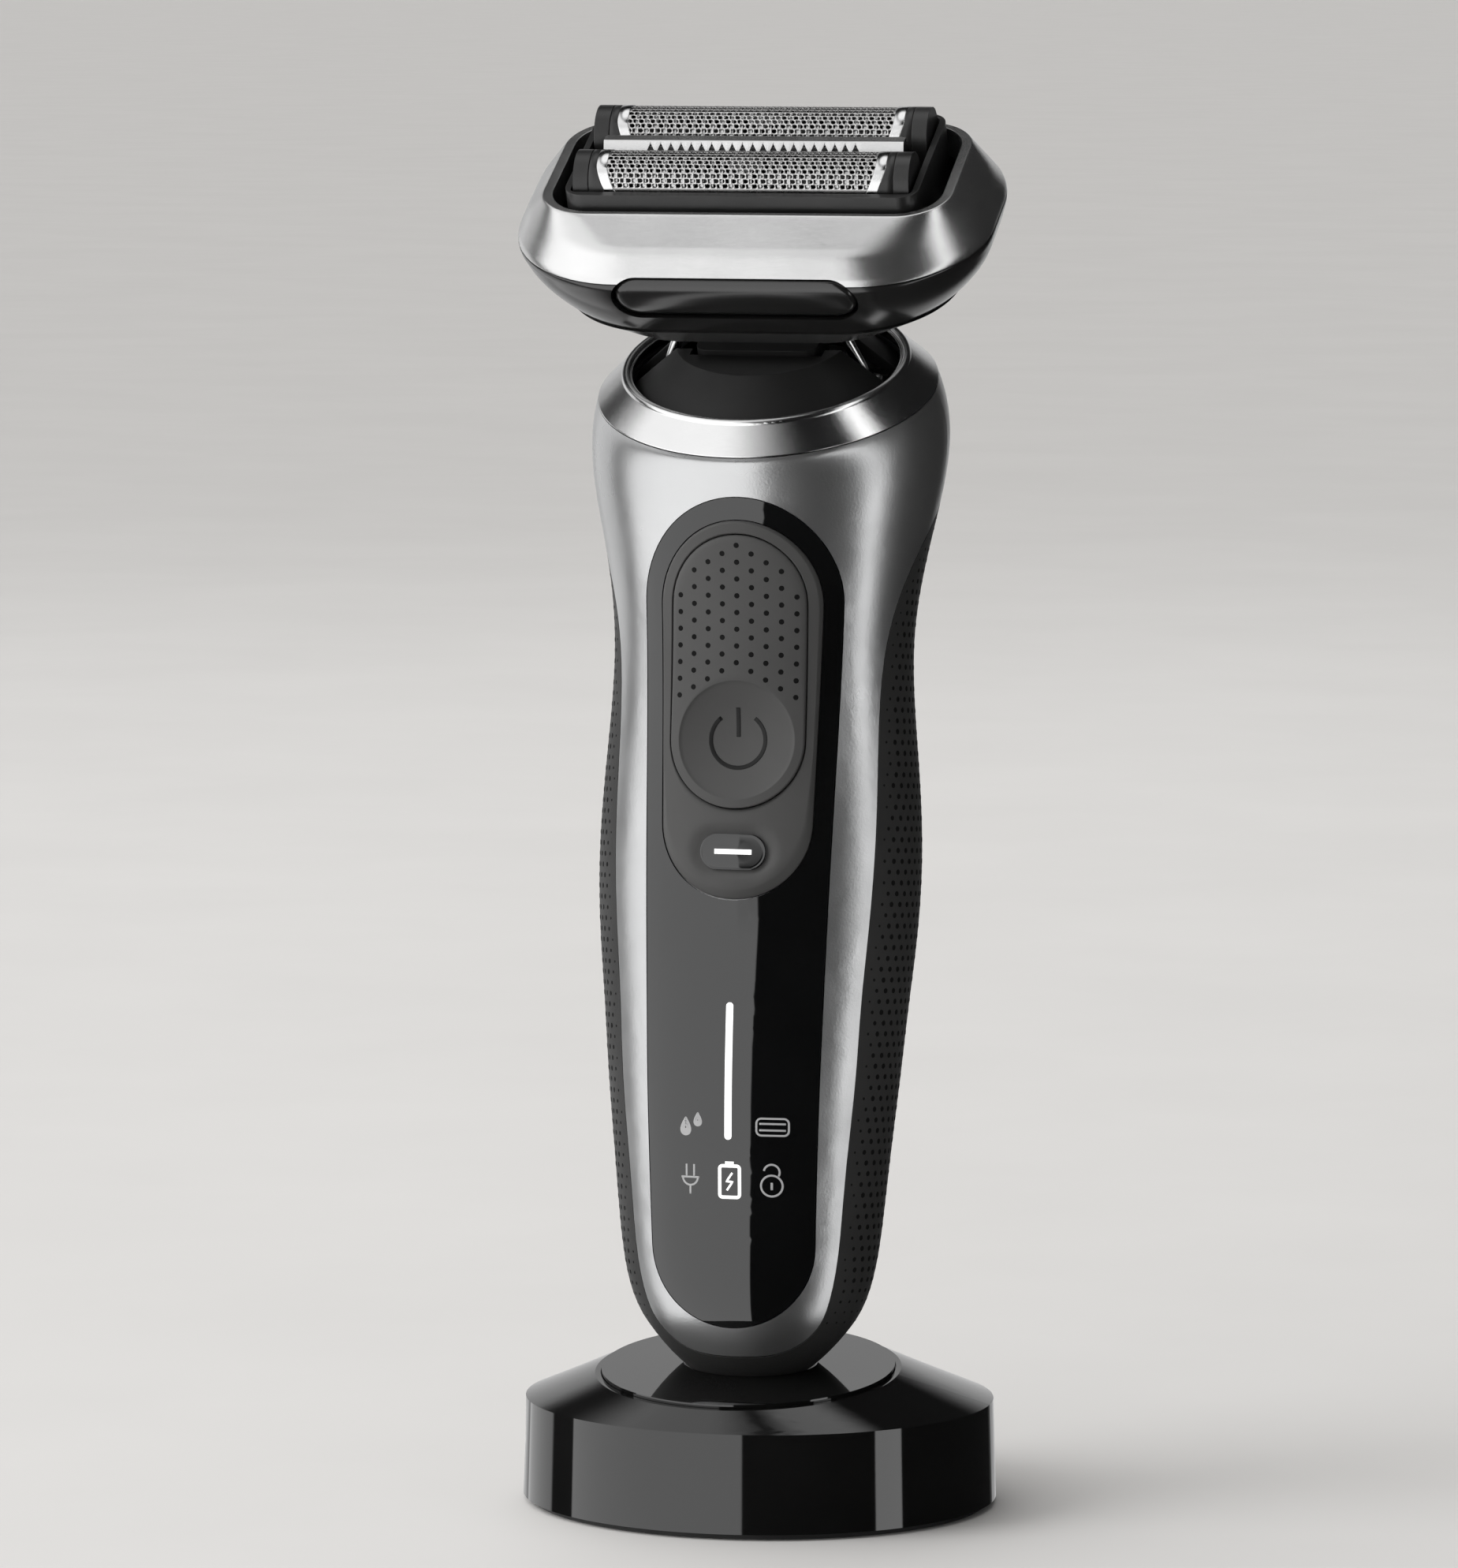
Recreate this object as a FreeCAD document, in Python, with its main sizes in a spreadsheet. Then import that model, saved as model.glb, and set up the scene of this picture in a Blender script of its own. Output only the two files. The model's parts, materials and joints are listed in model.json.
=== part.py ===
import FreeCAD, Part
import math
import os
import re
import Sketcher

# Foil shaver standing in its charging stand, as a parametric assembly of separate named pieces.
#
# Row frame, millimetres: +Z up, the front of the shaver faces -Y, X runs across it. The origin is the
# centre of the stand's foot pad on the table. Every piece belongs to one of four local frames, all of
# them turned about X only:
#   stand   the row frame itself
#   handle  z along the handle, which leans back in the stand
#   collar  z square to the rim at the top of the handle
#   head    z square to the cutting plane, origin on the seam of the head

os.makedirs("parts", exist_ok=True)
V = FreeCAD.Vector
doc = FreeCAD.newDocument("foil_shaver")
dims = doc.addObject("Spreadsheet::Sheet", "Dims")

DIMS = {
    # general
    "wall": 1.8,               # housing wall
    "gap": 0.12,               # gap between neighbouring fixed covers
    "play": 0.3,               # clearance round a moving piece
    # stand
    "stand_half_x": 29.6,
    "stand_half_y": 27.0,
    "stand_draft": 0.35,       # how much wider the wall is at its foot
    "stand_pad": 0.8,          # foot pad thickness
    "stand_shoulder": 13.2,    # height of the crease at the top of the wall
    "seat_radius": 18.4,
    "seat_y": -6.2,
    "seat_z": 18.2,
    "seat_tilt": 5.5,
    "seat_thick": 1.6,
    "plug_half_x": 4.2,
    "plug_half_y": 2.2,
    "plug_long": 6.0,          # how far the plug stands up into the shaver
    # frames
    "handle_y": -6.6,
    "handle_z": 15.2,
    "handle_lean": 6.0,
    "collar_y": -1.75,
    "collar_z": 125.3,
    "collar_tilt": 27.5,
    "head_y": 1.4,
    "head_z": 161.9,
    "head_tilt": 26.0,
    # split between the front and rear housings
    # panel, button pad and power button, as seen from the front
    "panel_top_z": 98.5,
    "panel_top_r": 12.5,
    "panel_low_z": 18.6,
    "panel_low_r": 10.3,
    "panel_thick": 1.4,
    "pad_top_z": 98.0,
    "pad_top_r": 10.2,
    "pad_low_z": 71.0,
    "pad_low_r": 9.5,
    "pad_proud": 0.7,
    "button_top_z": 98.0,
    "button_top_r": 8.45,
    "button_low_z": 81.2,
    "button_low_r": 8.45,
    "button_proud": 1.0,
    "dish_z": 81.2,
    "dish_r": 7.3,
    "dish_deep": 1.5,
    "window_z": 67.4,
    "window_half": 2.3,        # half height of the light window
    "window_reach": 2.0,       # half distance between its end centres
    # collar
    "collar_low_x": 21.4,
    "collar_low_y": 20.8,
    "collar_top_r": 18.1,
    "collar_high": 3.3,
    "lip_r": 17.6,
    "collar_bore": 16.8,
    "skirt_r": 18.5,
    "cover_top_r": 11.0,
    "cover_rise": 3.4,
    # neck, in the head frame
    "neck_y": -6.9,
    "neck_half_x": 8.4,
    "neck_half_y": 4.2,
    "neck_top": -13.0,
    "pitch_pin_r": 1.5,
    "link_low_x": 13.6,
    "link_low_z": -20.8,
    "link_high_x": 8.6,
    "link_high_z": -9.0,
    "link_r": 0.75,
    "link_eye_r": 1.7,
    "link_pin_r": 0.8,
    "pitch_h": -4.0,
    # head
    "seam_x": 30.1,
    "seam_y": 19.3,
    "seam_r": 15.5,
    "crease_x": 28.5,
    "crease_y": 17.2,
    "crease_r": 14.6,
    "crease_z": 3.7,
    "rim_x": 25.9,
    "rim_y": 12.4,
    "rim_r": 6.4,
    "rim_z": 6.3,
    "opening_x": 24.6,
    "opening_y": 11.7,
    "opening_r": 5.6,
    "head_wall": 1.5,
    "bowl_z": -8.6,
    "bowl_x": 24.9,
    "bowl_y": 15.2,
    "bowl_r": 13.4,
    "belly_z": -4.3,
    "belly_x": 28.9,
    "belly_y": 17.6,
    "belly_r": 15.0,
    "base_z": -11.5,
    "base_x": 19.6,
    "base_y": 12.4,
    "base_r": 11.0,
    "floor_z": -7.2,
    "floor_thick": 1.4,
    "catch_half_x": 15.2,
    "catch_z": -2.4,
    "catch_half_z": 3.1,
    # cassette
    "cassette_half_x": 22.3,
    "cassette_half_y": 11.1,
    "cassette_r": 2.5,
    "cassette_low": 0.6,
    "cassette_top": 8.2,
    "foil_y": 5.95,
    "foil_z": 7.6,
    "foil_r": 3.8,
    "foil_thick": 0.2,
    "foil_half": 19.2,
    "foil_leg": 1.6,
    "cap_thick": 1.9,
    "cutter_r": 3.45,
    "cutter_half": 17.2,
    "blade_pitch": 1.15,
    "blade_thick": 0.45,
    "trimmer_half": 19.2,
    "trimmer_half_y": 1.55,
    "trimmer_top": 10.4,
    "tooth_pitch": 1.3,
    "tooth_deep": 0.95,
    "stroke": 1.2,
    "float": 1.5,
    "pin_r": 1.1,
    "ball_r": 1.4,
    "ball_z": 6.6,
}

# The lofted form of the handle, from its foot to the seam under the collar. Each station is an
# ellipse: place along the handle, half width, half depth, shift of its centre to the back, forward tilt.
STATIONS = [
    (1.0, 4.8, 3.7, 0.0, 0.0),
    (2.2, 6.9, 5.3, 0.0, 0.0),
    (4.0, 9.2, 7.1, 0.0, 0.0),
    (7.0, 12.0, 9.1, 0.0, 0.0),
    (12.0, 14.9, 11.2, 0.0, 0.0),
    (20.0, 16.5, 12.5, -0.2, 0.0),
    (33.0, 17.8, 13.8, -0.5, 0.0),
    (48.0, 19.2, 14.7, -0.2, 0.0),
    (64.0, 20.4, 15.1, 0.2, 0.0),
    (77.0, 19.9, 14.8, 0.1, 0.0),
    (90.0, 18.95, 14.3, -0.5, 0.0),
    (100.0, 19.5, 14.9, -0.6, 0.0),
    (108.0, 21.0, 16.6, -0.2, 6.0),
    (117.0, 22.5, 19.1, 0.4, 16.0),
    (125.3, 21.4, 20.8, -1.75, 27.5),
]
# The split between the front and rear housings, seen from the side: place along the handle and depth.
SPLIT = [
    (4.5, -20.0),
    (4.5, -9.0),
    (4.9, -6.9),
    (6.6, -6.2),
    (10.5, -6.6),
    (18.0, -7.6),
    (28.0, -8.5),
    (40.0, -9.0),
    (52.0, -9.1),
    (64.0, -8.8),
    (76.0, -8.2),
    (88.0, -7.5),
    (95.0, -6.7),
    (101.0, -5.2),
    (107.0, -2.2),
    (111.5, 2.2),
    (114.5, 8.0),
    (115.5, 14.0),
    (115.5, 26.0),
]
for number, (along, depth) in enumerate(SPLIT):
    DIMS["split_along_%02d" % number] = along
    DIMS["split_depth_%02d" % number] = depth
for number, station in enumerate(STATIONS):
    for word, value in zip(("along", "wide", "deep", "back", "tilt"), station):
        DIMS["station_%s_%02d" % (word, number)] = value

for row, (alias, value) in enumerate(DIMS.items(), 1):
    dims.set("A%d" % row, alias)
    dims.set("B%d" % row, str(value))
    dims.setAlias("B%d" % row, alias)
doc.recompute()


# ---------------------------------------------------------------- small helpers
def ex(text):
    """An expression with every alias of the sheet turned into a reference to it."""
    return re.sub(r"[a-z][a-z0-9_]*", lambda m: "Dims." + m[0] if m[0] in DIMS else m[0], str(text))


FRAMES = {
    "stand": ("0", "0", "0"),
    "handle": ("handle_y", "handle_z", "-handle_lean"),
    "collar": (
        "handle_y + collar_y * cos(handle_lean) + collar_z * sin(handle_lean)",
        "handle_z - collar_y * sin(handle_lean) + collar_z * cos(handle_lean)",
        "collar_tilt - handle_lean",
    ),
    "head": ("head_y", "head_z", "head_tilt"),
}


def pose(obj, frame, x=0, y=0, z=0, turn=0, along_x=False):
    """Puts obj at (x, y, z) of a frame, turned about X by the frame's own tilt and by turn."""
    base_y, base_z, tilt = FRAMES[frame]
    axis, angle = (V(0, 1, 0), 90) if along_x else (V(1, 0, 0), 1)
    obj.Placement = FreeCAD.Placement(V(0, 0, 0), FreeCAD.Rotation(axis, angle))
    if not along_x:
        obj.setExpression("Placement.Rotation.Angle", ex("(%s) + (%s)" % (tilt, turn)))
    obj.setExpression("Placement.Base.x", ex(x))
    obj.setExpression(
        "Placement.Base.y", ex("(%s) + (%s) * cos(%s) - (%s) * sin(%s)" % (base_y, y, tilt, z, tilt)))
    obj.setExpression(
        "Placement.Base.z", ex("(%s) + (%s) * sin(%s) + (%s) * cos(%s)" % (base_z, y, tilt, z, tilt)))
    return obj


def bind(obj, **sizes):
    for prop, value in sizes.items():
        obj.setExpression(prop, ex(value))
    return obj


def new(kind, name):
    return doc.addObject(kind, name)


def box(name, frame, half_x, half_y, low, high, x=0, y=0):
    """A block centred on (x, y), from z = low to z = high."""
    b = bind(new("Part::Box", name), Length="2 * (%s)" % half_x, Width="2 * (%s)" % half_y,
             Height="(%s) - (%s)" % (high, low))
    return pose(b, frame, "(%s) - (%s)" % (x, half_x), "(%s) - (%s)" % (y, half_y), low)


def rod_z(name, frame, radius, low, high, x=0, y=0):
    c = bind(new("Part::Cylinder", name), Radius=radius, Height="(%s) - (%s)" % (high, low))
    return pose(c, frame, x, y, low)


def rod_x(name, frame, radius, left, right, y=0, z=0):
    c = bind(new("Part::Cylinder", name), Radius=radius, Height="(%s) - (%s)" % (right, left))
    return pose(c, frame, left, y, z, along_x=True)


def rod_y(name, frame, radius, front, rear, x=0, z=0):
    c = bind(new("Part::Cylinder", name), Radius=radius, Height="(%s) - (%s)" % (rear, front))
    return pose(c, frame, x, front, z, turn=-90)


def cone_z(name, frame, low_r, high_r, low, high, x=0, y=0):
    c = bind(new("Part::Cone", name), Radius1=low_r, Radius2=high_r, Height="(%s) - (%s)" % (high, low))
    return pose(c, frame, x, y, low)


def ball(name, frame, radius, x=0, y=0, z=0):
    return pose(bind(new("Part::Sphere", name), Radius=radius), frame, x, y, z)


def oval(name, frame, half_x, half_y, y, z, tilt=0):
    e = bind(new("Part::Ellipse", name), MajorRadius=half_x, MinorRadius=half_y)
    return pose(e, frame, 0, y, z, turn=tilt)


def loft(name, sections, ruled=False):
    solid = new("Part::Loft", name)
    solid.Sections = sections
    solid.Solid = True
    solid.Ruled = ruled
    return solid


def fuse(name, *shapes):
    joined = new("Part::MultiFuse", name)
    joined.Shapes = list(shapes)
    return joined


def group(name, *shapes):
    """Separate solids kept together in one node."""
    held = new("Part::Compound", name)
    held.Links = list(shapes)
    return held


def common(name, *shapes):
    shared = new("Part::MultiCommon", name)
    shared.Shapes = list(shapes)
    return shared


def cut(name, base, *tools):
    left = new("Part::Cut", name)
    left.Base = base
    left.Tool = tools[0] if len(tools) == 1 else fuse(name + "_tools", *tools)
    return left


NODES = []


def node(obj, label):
    obj.Label = label
    NODES.append(obj)
    return obj


EDGE, START, END, CENTRE = 0, 1, 2, 3
ORIGIN_POINT, V_AXIS = (-1, 1), -2


def value_of(text):
    """The value of a sum of products of the sheet's aliases, for a sketch's first guess."""
    total, sign = 0.0, 1.0
    for part in re.findall(r"[+-]|[^+-]+", str(text).replace(" ", "")):
        if part in "+-":
            sign = -sign if part == "-" else sign
            continue
        product = sign
        for factor in part.split("*"):
            product *= DIMS[factor] if factor in DIMS else float(factor)
        total += product
        sign = 1.0
    return total


def less(one, other):
    """The text of one minus other, where both are plain sums."""
    swapped = other.replace("+", "?").replace("-", "+").replace("?", "-")
    return "%s - %s" % (one, swapped)


def named(sketch, kind, name, value, *where):
    """Adds a dimension to a sketch and binds it to the sheet."""
    index = sketch.addConstraint(Sketcher.Constraint(kind, *where, value_of(value)))
    sketch.renameConstraint(index, name)
    sketch.setExpression("Constraints." + name, ex(value))


def locate(sketch, item, name, x, y):
    """Pins the centre of a circle or arc to a place in the sketch."""
    named(sketch, "DistanceX", name + "_x", x, *ORIGIN_POINT, item, CENTRE)
    named(sketch, "DistanceY", name + "_y", y, *ORIGIN_POINT, item, CENTRE)


def circle(sketch, name, radius, x=0, y=0):
    round_one = Part.Circle(V(value_of(x), value_of(y), 0), V(0, 0, 1), value_of(radius))
    item = sketch.addGeometry(round_one, False)
    named(sketch, "Radius", name, radius, item)
    locate(sketch, item, name, x, y)


def outline(sketch, points):
    """A closed outline through points given as pairs of expressions."""
    spots = [V(value_of(x), value_of(y), 0) for x, y in points]
    count = len(spots)
    for i in range(count):
        sketch.addGeometry(Part.LineSegment(spots[i], spots[(i + 1) % count]), False)
    for i in range(count):
        sketch.addConstraint(Sketcher.Constraint("Coincident", i, END, (i + 1) % count, START))
    for i, (x, y) in enumerate(points):
        named(sketch, "DistanceX", "x%d" % i, x, *ORIGIN_POINT, i, START)
        named(sketch, "DistanceY", "y%d" % i, y, *ORIGIN_POINT, i, START)


def rounded(sketch, half_x, half_y, radius):
    """A rectangle with round corners about the sketch's origin."""
    w, d, r = value_of(half_x), value_of(half_y), value_of(radius)
    corners = [(w - r, d - r), (r - w, d - r), (r - w, r - d), (w - r, r - d)]
    arcs, lines = [], []
    for i, (x, y) in enumerate(corners):
        start = i * math.pi / 2
        whole = Part.Circle(V(x, y, 0), V(0, 0, 1), r)
        arcs.append(sketch.addGeometry(Part.ArcOfCircle(whole, start, start + math.pi / 2), False))
    for i, (x, y) in enumerate(corners):
        out = V(-math.sin(i * math.pi / 2), math.cos(i * math.pi / 2), 0) * r
        next_x, next_y = corners[(i + 1) % 4]
        side = Part.LineSegment(V(x, y, 0) + out, V(next_x, next_y, 0) + out)
        lines.append(sketch.addGeometry(side, False))
    for i in range(4):
        sketch.addConstraint(Sketcher.Constraint("Tangent", arcs[i], END, lines[i], START))
        sketch.addConstraint(Sketcher.Constraint("Tangent", lines[i], END, arcs[(i + 1) % 4], START))
    for i in (0, 2):
        sketch.addConstraint(Sketcher.Constraint("Horizontal", lines[i]))
        sketch.addConstraint(Sketcher.Constraint("Vertical", lines[i + 1]))
    sketch.addConstraint(Sketcher.Constraint("Equal", arcs[0], arcs[1]))
    sketch.addConstraint(Sketcher.Constraint("Equal", arcs[0], arcs[2]))
    named(sketch, "Radius", "corner", radius, arcs[0])
    locate(sketch, arcs[0], "first", less(half_x, radius), less(half_y, radius))
    locate(sketch, arcs[2], "third", less(radius, half_x), less(radius, half_y))


def pill(sketch, top_z, top_r, low_z, low_r):
    """Two arcs on the sketch's vertical axis joined by their outer tangents."""
    high, wide, low, narrow = [value_of(each) for each in (top_z, top_r, low_z, low_r)]
    lean = math.asin((wide - narrow) / (high - low))
    spots = []
    for z, r, angle in ((high, wide, math.pi + lean), (low, narrow, math.pi + lean),
                        (low, narrow, -lean), (high, wide, -lean)):
        spots.append(V(r * math.cos(angle), z + r * math.sin(angle), 0))
    upper = Part.Circle(V(0, high, 0), V(0, 0, 1), wide)
    under = Part.Circle(V(0, low, 0), V(0, 0, 1), narrow)
    top = sketch.addGeometry(Part.ArcOfCircle(upper, -lean, math.pi + lean), False)
    left = sketch.addGeometry(Part.LineSegment(spots[0], spots[1]), False)
    base = sketch.addGeometry(Part.ArcOfCircle(under, math.pi + lean, 2 * math.pi - lean), False)
    right = sketch.addGeometry(Part.LineSegment(spots[2], spots[3]), False)
    for one, other in ((top, left), (left, base), (base, right), (right, top)):
        sketch.addConstraint(Sketcher.Constraint("Tangent", one, END, other, START))
    named(sketch, "Radius", "top_r", top_r, top)
    named(sketch, "Radius", "low_r", low_r, base)
    locate(sketch, top, "top", "0", top_z)
    locate(sketch, base, "low", "0", low_z)


# ---------------------------------------------------------------- extruded pieces
def extrude(name, sketch, forward, back=0):
    solid = new("Part::Extrusion", name)
    solid.Base = sketch
    solid.DirMode = "Normal"
    solid.Solid = True
    return bind(solid, LengthFwd=forward, LengthRev=back)


def section(name, frame, z, half_x, half_y, radius):
    """A rounded rectangle lying in a frame's XY plane at height z."""
    sketch = new("Sketcher::SketchObject", name)
    rounded(sketch, half_x, half_y, radius)
    return pose(sketch, frame, 0, 0, z)


def plate(name, frame, half_x, half_y, radius, low, high, x=0, y=0):
    """A flat block with round corners."""
    sketch = section(name + "_outline", frame, low, half_x, half_y, radius)
    pose(sketch, frame, x, y, low)
    return extrude(name, sketch, "(%s) - (%s)" % (high, low))


def front_pill(name, top_z, top_r, low_z, low_r):
    """A pill outline seen from the front, reaching through the front of the handle."""
    sketch = new("Sketcher::SketchObject", name + "_outline")
    pill(sketch, top_z, top_r, low_z, low_r)
    return extrude(name, pose(sketch, "handle", turn=90), 40)


# ---------------------------------------------------------------- pieces made as bodies
def body(name, frame, x=0, y=0, z=0, turn=0):
    return pose(new("PartDesign::Body", name), frame, x, y, z, turn)


def drawn(owner, name, role="XY_Plane", lift=0):
    """An empty sketch on one of a body's own planes."""
    sketch = owner.newObject("Sketcher::SketchObject", name)
    plane = [each for each in owner.Origin.OriginFeatures if each.Role == role][0]
    sketch.AttachmentSupport = [(plane, "")]
    sketch.MapMode = "FlatFace"
    sketch.setExpression("AttachmentOffset.Base.z", ex(lift))
    return sketch


def pad(owner, sketch, length, both=False):
    feature = owner.newObject("PartDesign::Pad", sketch.Name + "_pad")
    feature.Profile = sketch
    feature.SideType = "Symmetric" if both else "One side"
    return bind(feature, Length=length)


def pocket(owner, sketch, length, upward=True, both=False):
    feature = owner.newObject("PartDesign::Pocket", sketch.Name + "_pocket")
    feature.Profile = sketch
    feature.Reversed = upward
    feature.SideType = "Symmetric" if both else "One side"
    return bind(feature, Length=length)


def turned(owner, sketch):
    feature = owner.newObject("PartDesign::Revolution", sketch.Name + "_turn")
    feature.Profile = sketch
    feature.ReferenceAxis = (sketch, ["V_Axis"])
    return feature


def repeat(owner, feature, role, length, count):
    """A row of copies along one of the body's axes; the row becomes the body's tip."""
    row = owner.newObject("PartDesign::LinearPattern", feature.Name + "_row")
    axis = [each for each in owner.Origin.OriginFeatures if each.Role == role][0]
    row.Originals = [feature]
    row.Direction = (axis, [""])
    row.Occurrences = count
    bind(row, Length=length)
    owner.Tip = row
    return row


NODES = []


def node(obj, label):
    obj.Label = label
    NODES.append(obj)
    return obj


# ---------------------------------------------------------------- handle form
def form(name, inset, first=0, over=0):
    """The lofted form of the handle, smaller all round by inset, starting at a later station."""
    ovals = []
    last = len(STATIONS) - 1
    for i in range(first, len(STATIONS)):
        along = "station_along_%02d" % i + (" + %s" % over if i == last else "")
        ovals.append(oval("%s_%02d" % (name, i), "handle",
                          "station_wide_%02d - (%s)" % (i, inset), "station_deep_%02d - (%s)" % (i, inset),
                          "station_back_%02d" % i, along, "station_tilt_%02d" % i))
    return loft(name, ovals)


handle_form = form("handle_form", 0)
handle_core = form("handle_core", "wall", first=2, over=1.2)
panel_bed = form("panel_bed", "panel_thick", first=2, over=1.2)
shell_bed = form("shell_bed", "panel_thick + gap", first=2, over=1.2)
pad_form = form("pad_form", "-pad_proud")
button_form = form("button_form", "-button_proud")


def behind_split(name, back):
    """Everything behind the split, as a block with one curved face, set back by a small gap."""
    spots = []
    for i in range(len(SPLIT)):
        along = dims.getContents("B%d" % (list(DIMS).index("split_along_%02d" % i) + 1))
        depth = dims.getContents("B%d" % (list(DIMS).index("split_depth_%02d" % i) + 1))
        spots.append(V(-45, float(depth) + back, float(along) - back))
    curve = Part.BSplineCurve()
    curve.interpolate(spots)
    corners = [spots[-1], V(-45, 60, spots[-1].z), V(-45, 60, -20), V(-45, spots[0].y, -20), spots[0]]
    edges = [curve.toShape()] + [Part.makeLine(corners[i], corners[i + 1]) for i in range(4)]
    block = new("Part::Feature", name)
    block.Shape = Part.Face(Part.Wire(edges)).extrude(V(90, 0, 0))
    return pose(block, "handle")


rear_block = behind_split("rear_block", 0)
rear_block_in = behind_split("rear_block_in", DIMS["gap"])
panel_pill = front_pill("panel_pill", "panel_top_z", "panel_top_r", "panel_low_z", "panel_low_r")
panel_hole = front_pill("panel_hole", "panel_top_z", "panel_top_r + gap", "panel_low_z", "panel_low_r + gap")
pad_pill = front_pill("pad_pill", "pad_top_z", "pad_top_r", "pad_low_z", "pad_low_r")
pad_hole = front_pill("pad_hole", "pad_top_z", "pad_top_r + gap", "pad_low_z", "pad_low_r + gap")
button_pill = front_pill("button_pill", "button_top_z", "button_top_r", "button_low_z", "button_low_r")
button_hole = front_pill("button_hole", "button_top_z", "button_top_r + play", "button_low_z",
                         "button_low_r + play")
rim_high = box("rim_high", "collar", 40, 40, 0, 30)
plug_well = plate("plug_well", "handle", "plug_half_x + play", "plug_half_y + play", "1.2",
                  "-4", "plug_long + 1.2")
screw_spots = (82, 96)
screw_wells = []
for i, z in enumerate(screw_spots):
    screw_wells.append(rod_y("screw_well_%d" % i, "handle", 2.5, 10.6, 30, z=z))
    screw_wells.append(rod_y("screw_way_%d" % i, "handle", 1.2, 5, 30, z=z))

bar_slot = plate("bar_slot", "handle", "0.45", "8.5", "0.44", "0", "40")
pose(bar_slot.Base, "handle", 0, 0, 40.3, turn=90)
window_slot = plate("window_slot", "handle", "window_reach + window_half", "window_half",
                    "window_half - 0.05",
                    "0", "40")
pose(window_slot.Base, "handle", 0, 0, "window_z", turn=90)
window_plug = plate("window_plug", "handle", "window_reach + window_half - gap", "window_half - gap",
                    "window_half - gap - 0.05", "0", "40")
pose(window_plug.Base, "handle", 0, 0, "window_z", turn=90)

shell_skin = cut("shell_skin", handle_form, rear_block, handle_core, rim_high, plug_well)
panel_recess = cut("panel_recess", panel_hole, shell_bed)
node(cut("front_shell_piece", shell_skin, panel_recess, button_hole), "front_shell")
grip_skin = cut("grip_skin", common("grip_side", handle_form, rear_block_in), handle_core, plug_well)
node(cut("rear_grip_piece", grip_skin, *screw_wells), "rear_grip")
panel_skin = cut("panel_skin", common("panel_front", handle_form, panel_pill), panel_bed)
node(cut("display_panel_piece", panel_skin, pad_hole, bar_slot), "display_panel")
node(cut("charge_bar_piece", common("charge_bar_front", handle_form, bar_slot), panel_bed),
     "charge_light_bar")
pad_skin = cut("pad_skin", common("pad_front", pad_form, pad_pill), panel_bed)
node(cut("switch_pad_piece", pad_skin, button_hole, window_slot), "switch_pad")
node(cut("mode_window_piece", common("mode_window_front", handle_form, window_plug), panel_bed),
     "mode_window")

dish = common("dish", ball("dish_ball", "handle", 33, 0, "-15.75 + 1.8 - 33", "dish_z"),
              rod_y("dish_edge", "handle", "dish_r", -40, -8, z="dish_z"))
button_skin = cut("button_skin", common("button_front", button_form, button_pill),
                  form("button_bed", "panel_thick + 1.0", first=2, over=1.2))
button_stem = rod_y("button_stem", "handle", 1.6, -13.4, -9.7, z=88)
node(fuse("power_button_piece", cut("button_dished", button_skin, dish), button_stem), "power_button")

# ---------------------------------------------------------------- inside the handle
board = body("main_board_piece", "handle", 0, -6.2, 0, turn=90)
board_face = drawn(board, "board_face")
outline(board_face, [("-9.2", "20"), ("9.2", "20"), ("9.2", "97"), ("-9.2", "97")])
pad(board, board_face, 1.0)
board_holes = drawn(board, "board_holes")
for i, (x, z) in enumerate(((-7.2, 23), (7.2, 23), (-7.2, 94), (7.2, 94))):
    circle(board_holes, "hole_%d" % i, "1.1", str(x), str(z))
pocket(board, board_holes, 1.0)
node(board, "main_board")

CHIPS = ((0, 30, 3.5, 3.5, 1.0), (-4.5, 44, 2.2, 3.0, 0.9), (4.5, 43, 1.6, 2.4, 1.3),
         (3.5, 64, 2.6, 2.6, 0.9),
         (-5, 72, 1.4, 1.0, 0.6), (5, 72, 1.4, 1.0, 0.6), (-4.5, 60, 1.5, 2.0, 1.1))
chips = [box("chip_%d" % i, "handle", wide, "0.5 * %s" % deep, z - high, z + high, x,
             "-7.2 - 0.5 * %s" % deep)
         for i, (x, z, wide, high, deep) in enumerate(CHIPS)]
node(group("board_parts_piece", *chips), "board_parts")
switch_body = box("switch_body", "handle", 3, 0.75, 85, 91, 0, -7.95)
switch_cap = rod_y("switch_cap", "handle", 1.6, -8.95, -8.7, z=88)
node(fuse("tactile_switch_piece", switch_body, switch_cap), "tactile_switch")
guide_head = box("guide_head", "handle", 0.4, 0.9, 33.4, 48.8, 0, -11.6)
node(common("light_guide_piece", guide_head, form("guide_core", "wall + 0.1", first=2, over=1.2)),
     "light_guide")

cell = body("battery_cell_piece", "handle", 0, 3.0, 22)
cell_side = drawn(cell, "cell_side", "XZ_Plane")
outline(cell_side, [("0", "0"), ("6.4", "0"), ("6.8", "0.4"), ("6.8", "48.6"), ("6.2", "49.2"),
                    ("3", "49.2"),
                    ("2.6", "50.4"), ("0", "50.4")])
turned(cell, cell_side)
node(cell, "battery_cell")
tabs = [box("tab_%d" % i, "handle", 2.4, 2.4, low, low + 0.3, 0, 3.0) for i, low in enumerate((21.6, 72.5))]
node(group("cell_tabs_piece", *tabs), "battery_tabs")

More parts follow.
